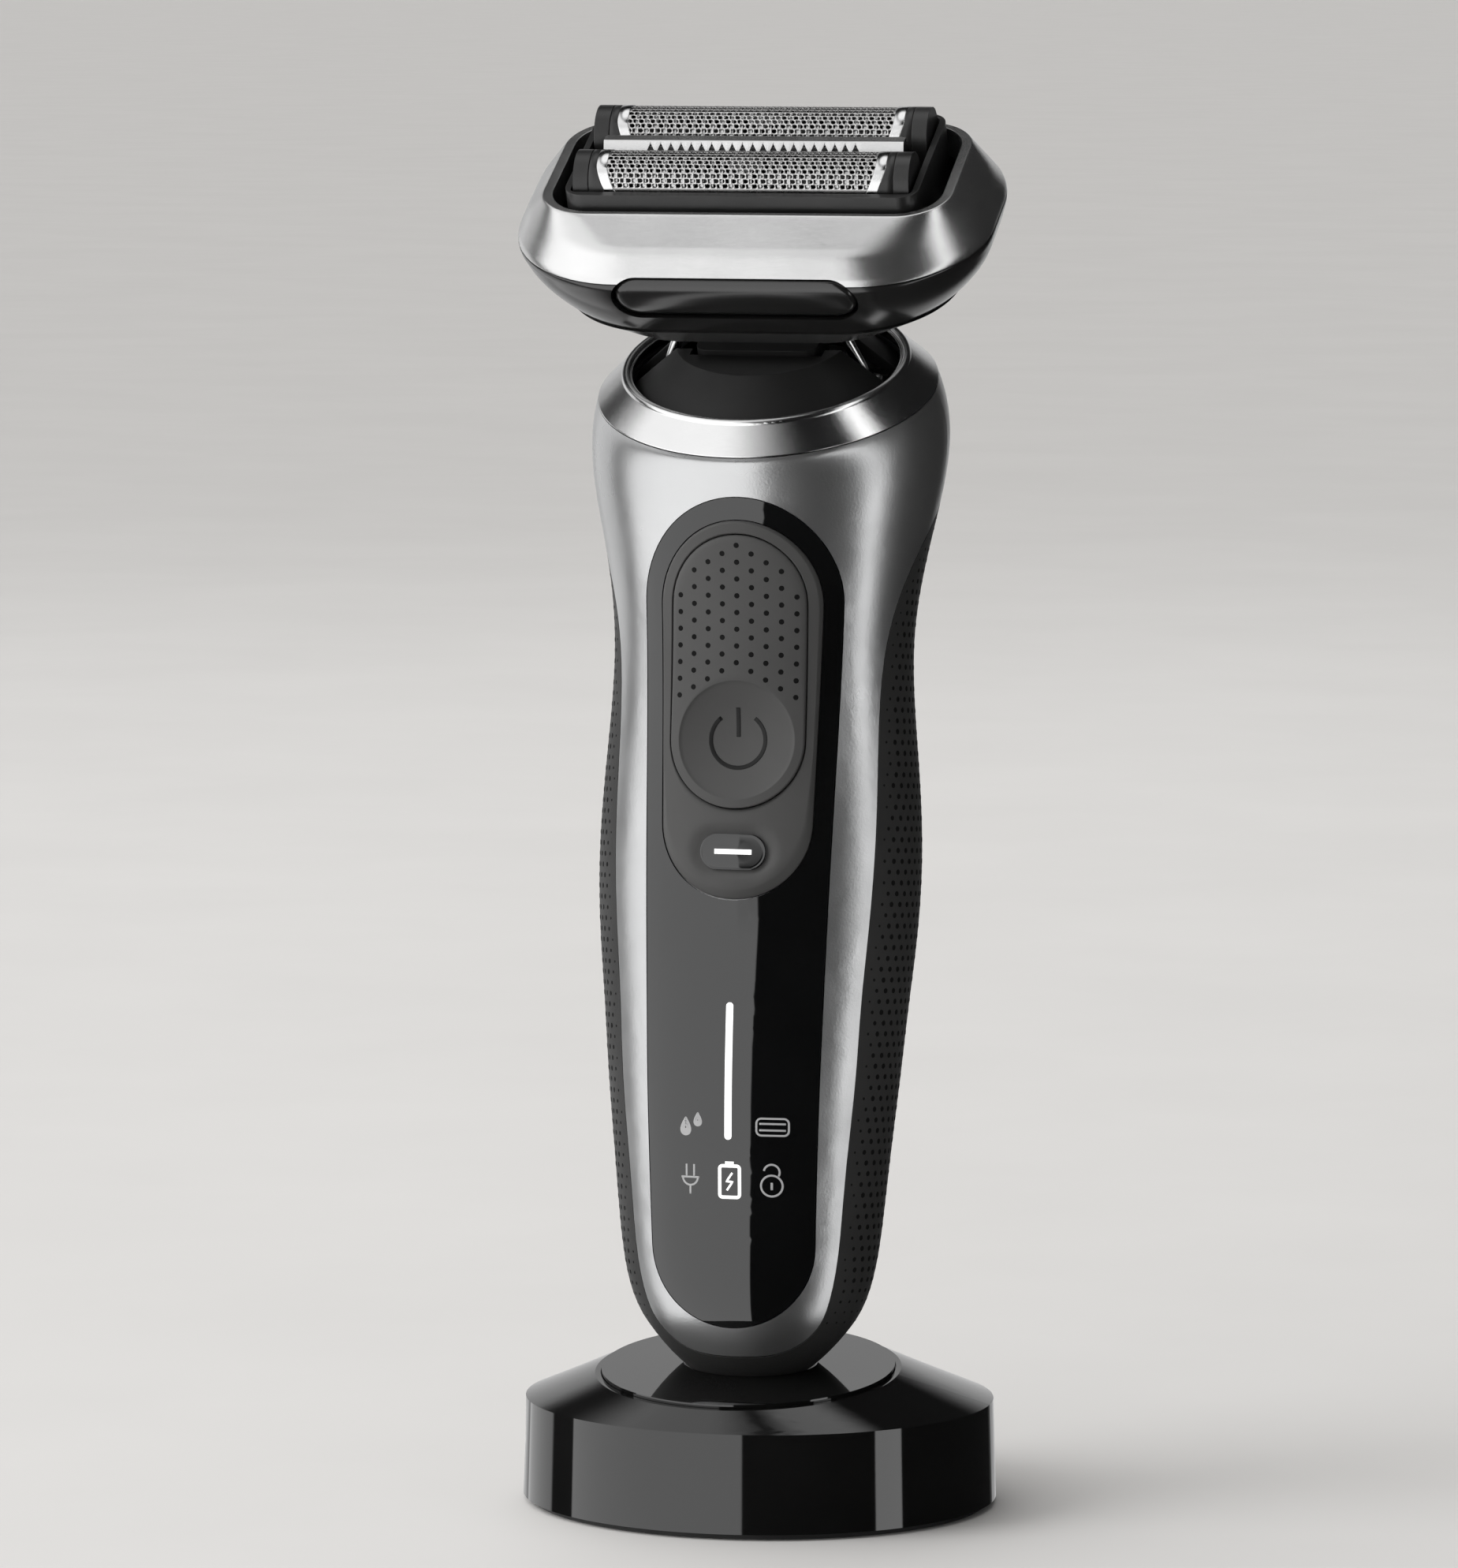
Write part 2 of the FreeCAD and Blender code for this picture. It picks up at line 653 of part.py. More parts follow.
tray = box("tray", "handle", 11.2, 0.6, 21, 104, 0, -4.5)
tray_ribs = [box("tray_rib_%d" % i, "handle", 9.2, 3.0, z, z + 1.2, 0, -1.2) for i,
             z in enumerate((20.2, 73.2))]
rails = [box("rail_%d" % i, "handle", 0.7, 2.0, 21, 104, x, -2.6) for i, x in enumerate((-10.5, 10.5))]
posts = [rod_y("screw_post_%d" % i, "handle", 2.6, -4.5, 10.2, z=z) for i, z in enumerate(screw_spots)]
board_posts = [rod_y("board_post_%d" % i, "handle", 1.6, -6.15, -4.6, x=x, z=z)
               for i, (x, z) in enumerate(((-7.2, 23), (7.2, 23), (-7.2, 94), (7.2, 94)))]
screw_bores = [rod_y("screw_bore_%d" % i, "handle", 0.95, 1, 20, z=z) for i, z in enumerate(screw_spots)]
node(cut("chassis_piece", fuse("chassis_solid", tray, *tray_ribs, *rails, *posts, *board_posts),
         *screw_bores),
     "handle_chassis")

screws = []
for i, z in enumerate(screw_spots):
    screw = body("housing_screw_%d" % i, "handle", 0, 11.4, z, turn=-90)
    profile = drawn(screw, "housing_screw_side_%d" % i, "XZ_Plane")
    outline(profile, [("0", "-9"), ("0.9", "-8.2"), ("0.9", "-0.75"), ("2.1", "-0.75"), ("2.1", "0.3"),
                      ("1.5", "0.9"), ("0", "0.9")])
    turned(screw, profile)
    cross = drawn(screw, "housing_screw_cross_%d" % i)
    outline(cross, [("-0.9", "-0.22"), ("0.9", "-0.22"), ("0.9", "0.22"), ("-0.9", "0.22")])
    pocket(screw, cross, "1.2")
    screws.append(screw)
node(group("housing_screws_piece", *screws), "housing_screws")

socket_block = plate("socket_block", "handle", "plug_half_x + 1.5", "plug_half_y + 1.3", "1.2",
                     "4.3", "plug_long + 3")
node(cut("charge_socket_piece", socket_block, plug_well), "charge_socket")
pins = [rod_z("charge_pin_%d" % i, "handle", 0.8, 3.2, "plug_long + 2", x) for i,
        x in enumerate((-2.1, 2.1))]
node(group("charge_pins_piece", *pins), "charge_pins")

bracket_base = box("bracket_base", "collar", 13, 7.5, -15.6, -14, 0, -0.5)
ears = []
for side, x in (("left", "-10.3"), ("right", "10.3")):
    ears.append(box("ear_" + side, "collar", 1.2, 2.5, -15, "pitch_h", x))
    ears.append(rod_x("ear_top_" + side, "collar", 2.5, x + " - 1.2", x + " + 1.2", 0, "pitch_h"))
pin_hole = rod_x("pin_hole", "collar", "pitch_pin_r + 0.02", -20, 20, 0, "pitch_h")
wire_hole = rod_z("wire_hole", "collar", 3, -20, -10)
node(cut("pivot_bracket_piece", fuse("bracket_solid", bracket_base, *ears), pin_hole, wire_hole),
     "pivot_bracket")
node(rod_x("pitch_pin_piece", "collar", "pitch_pin_r", -12, 12, 0, "pitch_h"), "pitch_pin")

# ---------------------------------------------------------------- collar
ring_form = loft("ring_form", [oval("ring_low", "collar", "collar_low_x", "collar_low_y", 0, "0.15"),
                               oval("ring_high", "collar", "collar_top_r", "collar_top_r - 0.001", 0,
                                    "collar_high")])
ring_bore = cone_z("ring_bore", "collar", "collar_bore + 1.3", "collar_bore", "0.1", "collar_high + 0.01")
lip = pose(bind(new("Part::Torus", "lip"), Radius1="lip_r", Radius2=0.55), "collar", z="collar_high")
node(fuse("collar_ring_piece", cut("ring_shell", ring_form, ring_bore), lip), "collar_ring")
liner_out = cone_z("liner_out", "collar",
                   "collar_bore + 1.3 * (collar_high - 0.49) / (collar_high - 0.09) - 0.02",
                   "collar_bore + 1.3 * (collar_high - 1.49) / (collar_high - 0.09) - 0.02", 0.5, 1.5)
liner_in = rod_z("liner_in", "collar", "collar_bore + 0.55", 0, 2)
node(cut("collar_seal_piece", liner_out, liner_in), "collar_seal")

# ---------------------------------------------------------------- neck
dome_r = ("sqrt((collar_bore - 0.6) * (collar_bore - 0.6)"
          " + (collar_high - pitch_h) * (collar_high - pitch_h))")
dome_ball = ball("dome_ball", "collar", dome_r, 0, 0, "pitch_h")
dome_lid = cone_z("dome_lid", "collar", "collar_bore + 3", "cover_top_r", "-1.2", "collar_high + cover_rise")
dome_low = box("dome_low", "collar", 30, 30, "-3.5", 30)
dome_hollow = ball("dome_hollow", "collar", dome_r + " - 1.2", 0, 0, "pitch_h")
dome_inner = cone_z("dome_inner", "collar", "collar_bore + 1.6", "cover_top_r - 1.0", "-1.7",
                    "collar_high + cover_rise - 1.2")
dome_skirt = box("dome_skirt", "collar", 30, 30, -20, "-1.65")
hollow = common("hollow", dome_hollow, fuse("hollow_limits", dome_inner, dome_skirt))
link_slots = [box("link_slot_%s" % side, "head", 4.4, 2.4, -24, -10, x, "neck_y")
              for side, x in (("left", "-12.4"), ("right", "12.4"))]
neck_gap = box("neck_gap", "head", "neck_half_x", "neck_half_y", -30, 0, 0, "neck_y")
node(cut("neck_dome_piece", common("dome_solid", dome_ball, dome_lid, dome_low), hollow, neck_gap,
         *link_slots),
     "neck_dome")
neck_post = plate("neck_post", "head", "neck_half_x - 0.7", "neck_half_y", "1.5", -25.6, "neck_top - 0.4",
                  y="neck_y")
neck_boss = rod_x("neck_boss", "collar", 2.8, "-neck_half_x", "neck_half_x", 0, "pitch_h")
cross_bar = box("cross_bar", "head", "link_low_x + 1.7", 2.6, "link_low_z - 1.0", "link_low_z + 1.2", 0,
                "neck_y")
bar_slots = [box("bar_slot_%d" % i, "head", 2.6, "0.8 + play", "link_low_z - 3", "link_low_z + 3", x,
                 "neck_y")
             for i, x in enumerate(("-link_low_x - 0.5", "link_low_x + 0.5"))]
bar_bores = [rod_y("bar_bore_%d" % i, "head", "link_pin_r + 0.02", "neck_y - 5", "neck_y + 5", x,
                   "link_low_z")
             for i, x in enumerate(("-link_low_x", "link_low_x"))]
pitch_bore = rod_x("pitch_bore", "collar", "pitch_pin_r + 0.02", -20, 20, 0, "pitch_h")
node(cut("neck_block_piece", fuse("neck_solid", neck_post, neck_boss, cross_bar), *bar_slots, *bar_bores,
         pitch_bore), "neck_block")


def link(side, sign):
    """One leg of the four-bar that carries the head: a rod with an eye at each end."""
    low_x, high_x = "%s * link_low_x" % sign, "%s * link_high_x" % sign
    low = [rod_y("eye_low_" + side, "head", "link_eye_r", "neck_y - 0.8", "neck_y + 0.8", low_x,
                 "link_low_z"),
           rod_y("eye_high_" + side, "head", "link_eye_r", "neck_y - 0.8", "neck_y + 0.8", high_x,
                 "link_high_z")]
    rod = bind(new("Part::Cylinder", "link_rod_" + side), Radius="link_r")
    run, rise = "(link_low_x - link_high_x)", "(link_high_z - link_low_z)"
    rod.setExpression("Height", ex("sqrt(%s * %s + %s * %s)" % (run, run, rise, rise)))
    pose(rod, "head", low_x, "neck_y", "link_low_z")
    slant = math.atan2(DIMS["link_low_x"] - DIMS["link_high_x"], DIMS["link_high_z"] - DIMS["link_low_z"])
    tilt = FreeCAD.Rotation(V(1, 0, 0), DIMS["head_tilt"])
    rod.setExpression("Placement.Rotation.Angle", None)
    rod.Placement.Rotation = tilt.multiply(FreeCAD.Rotation(V(0, 1, 0), math.degrees(-sign * slant)))
    bores = [rod_y("link_bore_low_" + side, "head", "link_pin_r + 0.02", "neck_y - 2", "neck_y + 2", low_x,
                   "link_low_z"),
             rod_y("link_bore_high_" + side, "head", "link_pin_r + 0.45", "neck_y - 2", "neck_y + 2", high_x,
                   "link_high_z")]
    return node(cut("link_piece_" + side, fuse("link_solid_" + side, rod, *low), *bores), "link_" + side)


link("left", -1)
link("right", 1)
node(group("low_pins_piece", *[rod_y("low_pin_%d" % i, "head", "link_pin_r", "neck_y - 2.1", "neck_y + 2.1",
                                     x,
                                     "link_low_z") for i, x in enumerate(("-link_low_x", "link_low_x"))]),
     "link_pins_lower")
node(group("high_pins_piece", *[rod_y("high_pin_%d" % i, "head", "link_pin_r", "neck_y - 2.1",
                                      "neck_y + 2.1", x,
                                      "link_high_z") for i, x in enumerate(("-link_high_x",
                                                                            "link_high_x"))]),
     "link_pins_upper")

# ---------------------------------------------------------------- head housings
def head_loft(name, inset, levels):
    """A ruled loft through rounded outlines: each level is a height and the stem of its dimensions."""
    outlines = []
    for i, (z, stem) in enumerate(levels):
        outlines.append(section("%s_%d" % (name, i), "head", z, "%s_x - %s" % (stem, inset),
                                "%s_y - %s" % (stem, inset), "%s_r - %s" % (stem, inset)))
    return loft(name, outlines, ruled=True)


frame_out = head_loft("frame_out", "0", [("0.12", "seam"), ("crease_z", "crease"), ("rim_z", "rim")])
frame_in = head_loft("frame_in", "head_wall", [("-0.3", "seam"), ("crease_z - 0.4", "crease")])
mouth = plate("mouth", "head", "opening_x", "opening_y", "opening_r", "1", "12")
bowl_out = head_loft("bowl_out", "0", [("0", "seam"), ("belly_z", "belly"), ("bowl_z", "bowl")])
bowl_in = head_loft("bowl_in", "head_wall",
                    [("0.4", "seam"), ("belly_z", "belly"), ("bowl_z - 0.1", "bowl")])
base_out = head_loft("base_out", "0", [("bowl_z - 0.1", "bowl"), ("base_z", "base")])
base_in = head_loft("base_in", "1.2", [("bowl_z + 0.1", "bowl"), ("base_z + 1.2", "base")])


def catch(name, grow, front, rear):
    """A wide pill seen from the front, on the seam of the head."""
    sketch = new("Sketcher::SketchObject", name + "_outline")
    rounded(sketch, "catch_half_x + %s" % grow, "catch_half_z + %s" % grow,
            "catch_half_z + %s - 0.05" % grow)
    pose(sketch, "head", 0, 0, "catch_z", turn=90)
    return extrude(name, sketch, "-(%s)" % front, rear)


catch_ways = catch("catch_ways", "play", -40, 40)
node(cut("head_frame_piece", frame_out, frame_in, mouth, catch_ways), "head_frame")
node(cut("head_shell_piece", bowl_out, bowl_in, catch_ways), "head_lower_shell")
rod_ways = [box("rod_way_%d" % i, "head", 2.9, 1.7, -13, -8, x, "neck_y") for i, x in enumerate((-9.9, 9.9))]
lug_room = box("lug_room", "head", 13.2, 3.2, -10.9, -8, 0, "neck_y")
node(cut("bottom_rim_piece", base_out, base_in, *rod_ways, lug_room), "head_bottom_rim")

face_in = head_loft("face_in", "0.35", [("1.2", "seam"), ("0", "seam"), ("belly_z", "belly"),
                                        ("bowl_z", "bowl")])
catch_front = catch("catch_front", "0", -40, -15.2)
catch_rear = catch("catch_rear", "0", 15.2, 40)
node(common("release_front_piece", catch_front, face_in), "release_button_front")
node(common("release_rear_piece", catch_rear, face_in), "release_button_rear")

floor = plate("floor", "head", "bowl_x - 2.6", "bowl_y - 2.2", "bowl_r - 2.4", "bowl_z", "floor_z")
lugs = []
for i, x in enumerate(("-link_high_x", "link_high_x")):
    for k, y in enumerate(("neck_y - 1.7", "neck_y + 1.7")):
        lugs.append(box("lug_%d_%d" % (i, k), "head", 2.0, 0.5, -10.5, "floor_z", x, y))
eye_rooms = [box("eye_room_%d" % i, "head", 2.9, "0.8 + play", -12, -7, x, "neck_y")
             for i, x in enumerate(("-link_high_x", "link_high_x"))]
lug_bores = [rod_y("lug_bore_%d" % i, "head", "link_pin_r + 0.01", "neck_y - 4", "neck_y + 4", x,
                   "link_high_z")
             for i, x in enumerate(("-link_high_x", "link_high_x"))]
posts = [box("motor_post_%d" % i, "head", 1.0, 5, "floor_z", -2.2, x) for i, x in enumerate((-17.5, 17.5))]
node(cut("head_chassis_piece", fuse("head_chassis_solid", floor, *lugs, *posts), *eye_rooms, *lug_bores),
     "head_chassis")

# ---------------------------------------------------------------- motor in the head
core_blocks = [box("core_%d" % i, "head", 1.6, 6, -6.9, -2.6, x) for i, x in enumerate((-9, 0, 9))]
core_base = box("core_base", "head", 11.5, 6, -7.1, -5.9)
node(fuse("motor_core_piece", core_base, *core_blocks), "motor_core")
coil_out = plate("coil_out", "head", "3.6", "8", "1.5", -5.6, -3.0)
coil_in = box("coil_in", "head", 1.75, 6.15, -6, -2)
node(cut("motor_coil_piece", coil_out, coil_in), "motor_coil")
mover_plate = box("mover_plate", "head", 13, 8.5, -1.1, 0.2)
magnets = [box("magnet_%d" % i, "head", 3.6, 6, -2.3, -1.1, x) for i, x in enumerate((-6, 6))]
node(group("magnets_piece", *magnets), "motor_magnets")
drive = [mover_plate]
for word, y, top, tip in (("front", "-foil_y", "ball_z", "ball_r"), ("rear", "foil_y", "ball_z", "ball_r"),
                          ("mid", "0", "ball_z", "0.7 * ball_r")):
    drive.append(rod_z("drive_pin_" + word, "head", "0.7 * pin_r", "-0.5", top, 0, y))
    drive.append(ball("drive_ball_" + word, "head", tip, 0, y, top))
node(fuse("mover_piece", *drive), "motor_mover")

# ---------------------------------------------------------------- cassette
tub = body("cassette_body_piece", "head", 0, 0, "cassette_low")
tub_plan = drawn(tub, "tub_plan")
rounded(tub_plan, "cassette_half_x", "cassette_half_y", "cassette_r")
pad(tub, tub_plan, "cassette_top - cassette_low")
tub_well = drawn(tub, "tub_well", lift="1.4")
rounded(tub_well, "cassette_half_x - 0.8", "cassette_half_y - 0.9", "cassette_r - 1.7")
pocket(tub, tub_well, 12)
tub_ways = drawn(tub, "tub_ways")
outline(tub_ways, [("-4.2", "-8.6"), ("4.2", "-8.6"), ("4.2", "8.6"), ("-4.2", "8.6")])
pocket(tub, tub_ways, 3)
node(tub, "cassette_body")


def foil_set(side, y):
    """One arched foil, the holder that carries it and the cutter that runs under it."""
    arch = [rod_x("arch_out_" + side, "head", "foil_r", "-foil_half", "foil_half", y, "foil_z"),
            box("leg_out_" + side, "head", "foil_half", "foil_r", "foil_z - foil_leg", "foil_z", 0, y)]
    arch_in = rod_x("arch_in_" + side, "head", "foil_r - foil_thick", -30, 30, y, "foil_z")
    leg_in = box("leg_in_" + side, "head", 30, "foil_r - foil_thick", 0, "foil_z", 0, y)
    under = box("under_" + side, "head", 30, 6, 0, "foil_z - foil_leg", 0, y)
    node(cut("foil_piece_" + side, fuse("foil_solid_" + side, *arch), arch_in, leg_in, under),
         side + "_foil")
    holder = []
    for end, sign in (("l", -1), ("r", 1)):
        near = "%d * (foil_half + 0.05 + 0.5 * cap_thick)" % sign
        holder.append(box("cap_base_%s_%s" % (side, end), "head", "0.5 * cap_thick", "foil_r - 0.02",
                          "foil_z - foil_leg - 1.2", "foil_z", near, y))
        holder.append(rod_x("cap_round_%s_%s" % (side, end), "head", "foil_r - 0.02",
                            near + " - 0.5 * cap_thick", near + " + 0.5 * cap_thick", y, "foil_z"))
    for k, shift in enumerate((-1, 1)):
        rail_y = "(%s) + %d * (foil_r - foil_thick - 0.45)" % (y, shift)
        holder.append(box("holder_rail_%s_%d" % (side, k), "head", "foil_half + 0.5", 0.4,
                          "foil_z - foil_leg - 1.2", "foil_z - 1.0", 0, rail_y))
    clear = box("holder_under_" + side, "head", 30, 6, 0, "foil_z - foil_leg - 1.2", 0, y)
    node(cut("holder_piece_" + side, fuse("holder_solid_" + side, *holder), clear), side + "_foil_holder")
    cutter = body("cutter_blades_" + side, "head", "-cutter_half", y, "foil_z")
    blade = drawn(cutter, "blade_" + side, "YZ_Plane")
    wide, low = DIMS["cutter_r"], -1.0
    arc = Part.ArcOfCircle(Part.Circle(V(0, 0, 0), V(0, 0, 1), wide), 0, math.pi)
    blade.addGeometry([arc, Part.LineSegment(V(-wide, 0, 0), V(-wide, low, 0)),
                       Part.LineSegment(V(-wide, low, 0), V(wide, low, 0)),
                       Part.LineSegment(V(wide, low, 0), V(wide, 0, 0))], False)
    joins = ((0, END, 1, START), (1, END, 2, START), (2, END, 3, START), (3, END, 0, START))
    for one, at, other, to in joins:
        blade.addConstraint(Sketcher.Constraint("Coincident", one, at, other, to))
    for kind, line in (("Vertical", 1), ("Horizontal", 2), ("Vertical", 3)):
        blade.addConstraint(Sketcher.Constraint(kind, line))
    named(blade, "Radius", "blade_r", "cutter_r", 0)
    locate(blade, 0, "blade", "0", "0")
    named(blade, "DistanceY", "blade_low", "-1.0", *ORIGIN_POINT, 1, END)
    blade.addConstraint(Sketcher.Constraint("PointOnObject", 0, START, -1))
    count = int(2 * DIMS["cutter_half"] / DIMS["blade_pitch"])
    repeat(cutter, pad(cutter, blade, "blade_thick"), "X_Axis", "2 * cutter_half - blade_thick", count)
    spine = box("spine_" + side, "head", "cutter_half", 1.4, "foil_z - 1.6", "foil_z + 0.2", 0, y)
    hub = rod_z("hub_" + side, "head", 2.1, "foil_z - 2.8", "foil_z + 2.6", 0, y)
    hole = rod_z("hub_hole_" + side, "head", "ball_r + 0.08", 0, "foil_z + 2.0", 0, y)
    node(cut("cutter_piece_" + side, fuse("cutter_solid_" + side, cutter, spine, hub), hole),
         side + "_cutter")


foil_set("front", "-foil_y")
foil_set("rear", "foil_y")


def comb(name, z, half_x, half_y, high, slot, deep, pitch):
    """A bar with a row of tooth slots cut into the top of both long edges."""
    bar = body(name, "head", 0, 0, z)
    plan = drawn(bar, name + "_plan")
    outline(plan, [("-" + half_x, "-" + half_y), (half_x, "-" + half_y), (half_x, half_y),
                   ("-" + half_x, half_y)])
    pad(bar, plan, high)
    slots = drawn(bar, name + "_slots", lift="0.5 * (%s)" % high)
    left = "0.65 - " + half_x
    for i, (near, far) in enumerate((("-%s - 1" % half_y, "%s - %s" % (deep, half_y)),
                                     ("%s - %s" % (half_y, deep), "%s + 1" % half_y))):
        first = i * 4
        corners = [(left, near), (left + " + " + slot, near), (left + " + " + slot, far), (left, far)]
        spots = [V(value_of(x), value_of(y), 0) for x, y in corners]
        for k in range(4):
            slots.addGeometry(Part.LineSegment(spots[k], spots[(k + 1) % 4]), False)
        for k in range(4):
            slots.addConstraint(Sketcher.Constraint("Coincident", first + k, END, first + (k + 1) % 4,
                                                    START))
            named(slots, "DistanceX", "x%d%d" % (i, k), corners[k][0], *ORIGIN_POINT, first + k, START)
            named(slots, "DistanceY", "y%d%d" % (i, k), corners[k][1], *ORIGIN_POINT, first + k, START)
    count = int((2 * value_of(half_x) - 1.3) / value_of(pitch)) + 1
    repeat(bar, pocket(bar, slots, 20), "X_Axis", "%d * %s" % (count - 1, pitch), count)
    return bar


guard = comb("guard", "trimmer_top - 4.2", "trimmer_half", "trimmer_half_y", "4.2", "0.6", "tooth_deep",
             "tooth_pitch")
guard_well = box("guard_well", "head", "trimmer_half - 0.8", "trimmer_half_y - 0.5", 0, "trimmer_top - 0.45")
node(cut("trimmer_guard_piece", guard, guard_well), "trimmer_guard")
blade_bar = comb("blade_bar", "trimmer_top - 2.4", "cutter_half", "0.9", "1.7", "0.5", "0.45", "tooth_pitch")
blade_web = box("blade_web", "head", "0.7 * cutter_half", 0.5, "trimmer_top - 3.6", "trimmer_top - 2.2")
blade_hub = rod_z("blade_hub", "head", 1.35, "trimmer_top - 6", "trimmer_top - 2.4")
blade_neck = box("blade_neck", "head", 1.4, 0.9, "trimmer_top - 4.8", "trimmer_top - 2")
blade_hole = rod_z("blade_hole", "head", "0.7 * ball_r + 0.06", 0, "trimmer_top - 1.1")
trimmer_solid = fuse("trimmer_solid", blade_bar, blade_web, common("blade_hub_slim", blade_hub,
                     box("blade_hub_box", "head", 2, 1.34, 2, "trimmer_top - 4.4")), blade_neck)
node(cut("trimmer_blade_piece", trimmer_solid, blade_hole), "trimmer_blade")

spring_rings = []
for i, x in enumerate(("-foil_half - 0.9", "foil_half + 0.9")):
    for k, y in enumerate(("-foil_y", "foil_y")):
        for turn_no in range(3):
            ring = bind(new("Part::Torus", "ring_%d%d%d" % (i, k, turn_no)), Radius1=1.0, Radius2=0.17)
            spring_rings.append(pose(ring, "head", x, y,
                                     "cassette_low + 1.4 + 0.17 + %s" % (0.36 * turn_no)))
node(group("float_springs_piece", *spring_rings), "float_springs")

# ---------------------------------------------------------------- stand
seat_turn = "seat_tilt"


def stand_loft(name, inset, low, shoulder_drop, top_drop, top_r):
    """The oval form of the stand up to the round seat."""
    top = bind(new("Part::Ellipse", name + "_seat"), MajorRadius=top_r, MinorRadius="(%s) - 0.001" % top_r)
    pose(top, "stand", 0, "seat_y", "seat_z - (%s)" % top_drop, turn="seat_tilt")
    wall = [oval(name + "_foot", "stand", "stand_half_x + stand_draft - (%s)" % inset,
                 "stand_half_y + stand_draft - (%s)" % inset, 0, low),
            oval(name + "_shoulder", "stand", "stand_half_x - (%s)" % inset, "stand_half_y - (%s)" % inset,
                 0,
                 "stand_shoulder - (%s)" % shoulder_drop)]
    return loft(name, wall + [top], ruled=True)


stand_out = stand_loft("stand_out", "0", "stand_pad", "0", "0.5", "seat_radius + 0.8")
stand_in = stand_loft("stand_in", "wall", "stand_pad - 0.5", "1.2", "2.6", "seat_radius - 0.6")
seat_bed = rod_z("seat_bed", "stand", "seat_radius + gap", 0, 6)
pose(seat_bed, "stand", 0, "seat_y + (seat_thick + gap) * sin(seat_tilt)", "seat_z - seat_thick - gap",
     turn=seat_turn)
seat_way = rod_z("seat_way", "stand", 14.6, -3, 4)
pose(seat_way, "stand", 0, "seat_y", "seat_z - 8", turn=seat_turn)
seat_way.setExpression("Height", "20")
BOSSES = ((-19, 12), (19, 12), (0, -22.2))
bosses = [rod_z("boss_%d" % i, "stand", 2.2, 2.6, 14.6, x, y) for i, (x, y) in enumerate(BOSSES)]
boss_bores = [rod_z("boss_bore_%d" % i, "stand", 0.95, 0, 11, x, y) for i, (x, y) in enumerate(BOSSES)]
inlet_way = plate("inlet_way", "stand", "4.4", "2.6", "2.5", "0", "20")
pose(inlet_way.Base, "stand", 0, 10, 6.8, turn=-90)
inlet_way.setExpression("LengthFwd", "30")
stand_shell = cut("stand_shell", stand_out, stand_in, seat_bed, seat_way)
node(cut("stand_housing_piece", fuse("stand_solid", stand_shell, *bosses), inlet_way, *boss_bores),
     "stand_housing")

foot_room = form("foot_room", "-play")
seat_disc = rod_z("seat_disc", "stand", "seat_radius", 0, "seat_thick")
pose(seat_disc, "stand", 0, "seat_y + seat_thick * sin(seat_tilt)", "seat_z - seat_thick", turn=seat_turn)
cup = rod_z("cup", "stand", 13.4, 0, 5)
pose(cup, "stand", 0, "seat_y + 6 * sin(seat_tilt)", "seat_z - 6", turn=seat_turn)
plug_way = plate("plug_way", "handle", "plug_half_x + 0.1", "plug_half_y + 0.1", "1.2", "-5", "2")
node(cut("stand_seat_piece", fuse("seat_solid", seat_disc, cup), foot_room, plug_way), "stand_seat")
plug_body = plate("plug_body", "handle", "plug_half_x", "plug_half_y", "1.1", "-3.4", "plug_long")
plug_holes = [rod_z("plug_hole_%d" % i, "handle", 1.1, 0, 20, x) for i, x in enumerate((-2.1, 2.1))]
node(cut("stand_plug_piece", plug_body, *plug_holes), "stand_plug")
leads = [rod_z("lead_%d" % i, "stand", 0.5, 6.6, 10.8, x, -8.5) for i, x in enumerate((-2.1, 2.1))]
node(group("stand_leads_piece", *leads), "stand_leads")


def oval_plate(name, inset, low, high):
    ends = [oval("%s_%d" % (name, i), "stand", "stand_half_x - (%s)" % inset, "stand_half_y - (%s)" % inset,
                 0, z)
            for i, z in enumerate((low, high))]
    return loft(name, ends, ruled=True)


screw_seats = [rod_z("base_seat_%d" % i, "stand", 2.4, 0, 1.7, x, y) for i, (x, y) in enumerate(BOSSES)]
screw_passes = [rod_z("base_pass_%d" % i, "stand", 1.2, 0, 4, x, y) for i, (x, y) in enumerate(BOSSES)]
node(cut("stand_base_piece", oval_plate("base_oval", "wall + 0.15", "stand_pad", "stand_pad + 1.7"),
         *screw_seats, *screw_passes), "stand_base_plate")
pad_ways = [rod_z("pad_way_%d" % i, "stand", 2.9, -1, 2, x, y) for i, (x, y) in enumerate(BOSSES)]
node(cut("stand_pad_piece", oval_plate("pad_oval", "0.9", "0", "stand_pad"), *pad_ways), "stand_foot_pad")

base_screws = []
for i, (x, y) in enumerate(BOSSES):
    screw = body("base_screw_%d" % i, "stand", str(x), str(y), "1.7")
    profile = drawn(screw, "base_screw_side_%d" % i, "XZ_Plane")
    outline(profile, [("0", "-0.7"), ("1.6", "-0.7"), ("2.2", "-0.1"), ("2.2", "0"), ("0.9", "0"),
                      ("0.9", "7"),
                      ("0", "8")])
    turned(screw, profile)
    base_screws.append(screw)
node(group("stand_screws_piece", *base_screws), "stand_screws")

weight = body("stand_weight_piece", "stand", 0, 0, "stand_pad + 1.8")
weight_plan = drawn(weight, "weight_plan")
rounded(weight_plan, "15.5", "15.5", "6")
pad(weight, weight_plan, "2.4")
weight_dent = drawn(weight, "weight_dent", lift="1.6")
rounded(weight_dent, "12", "8", "3")
pocket(weight, weight_dent, "2")
node(weight, "stand_weight")

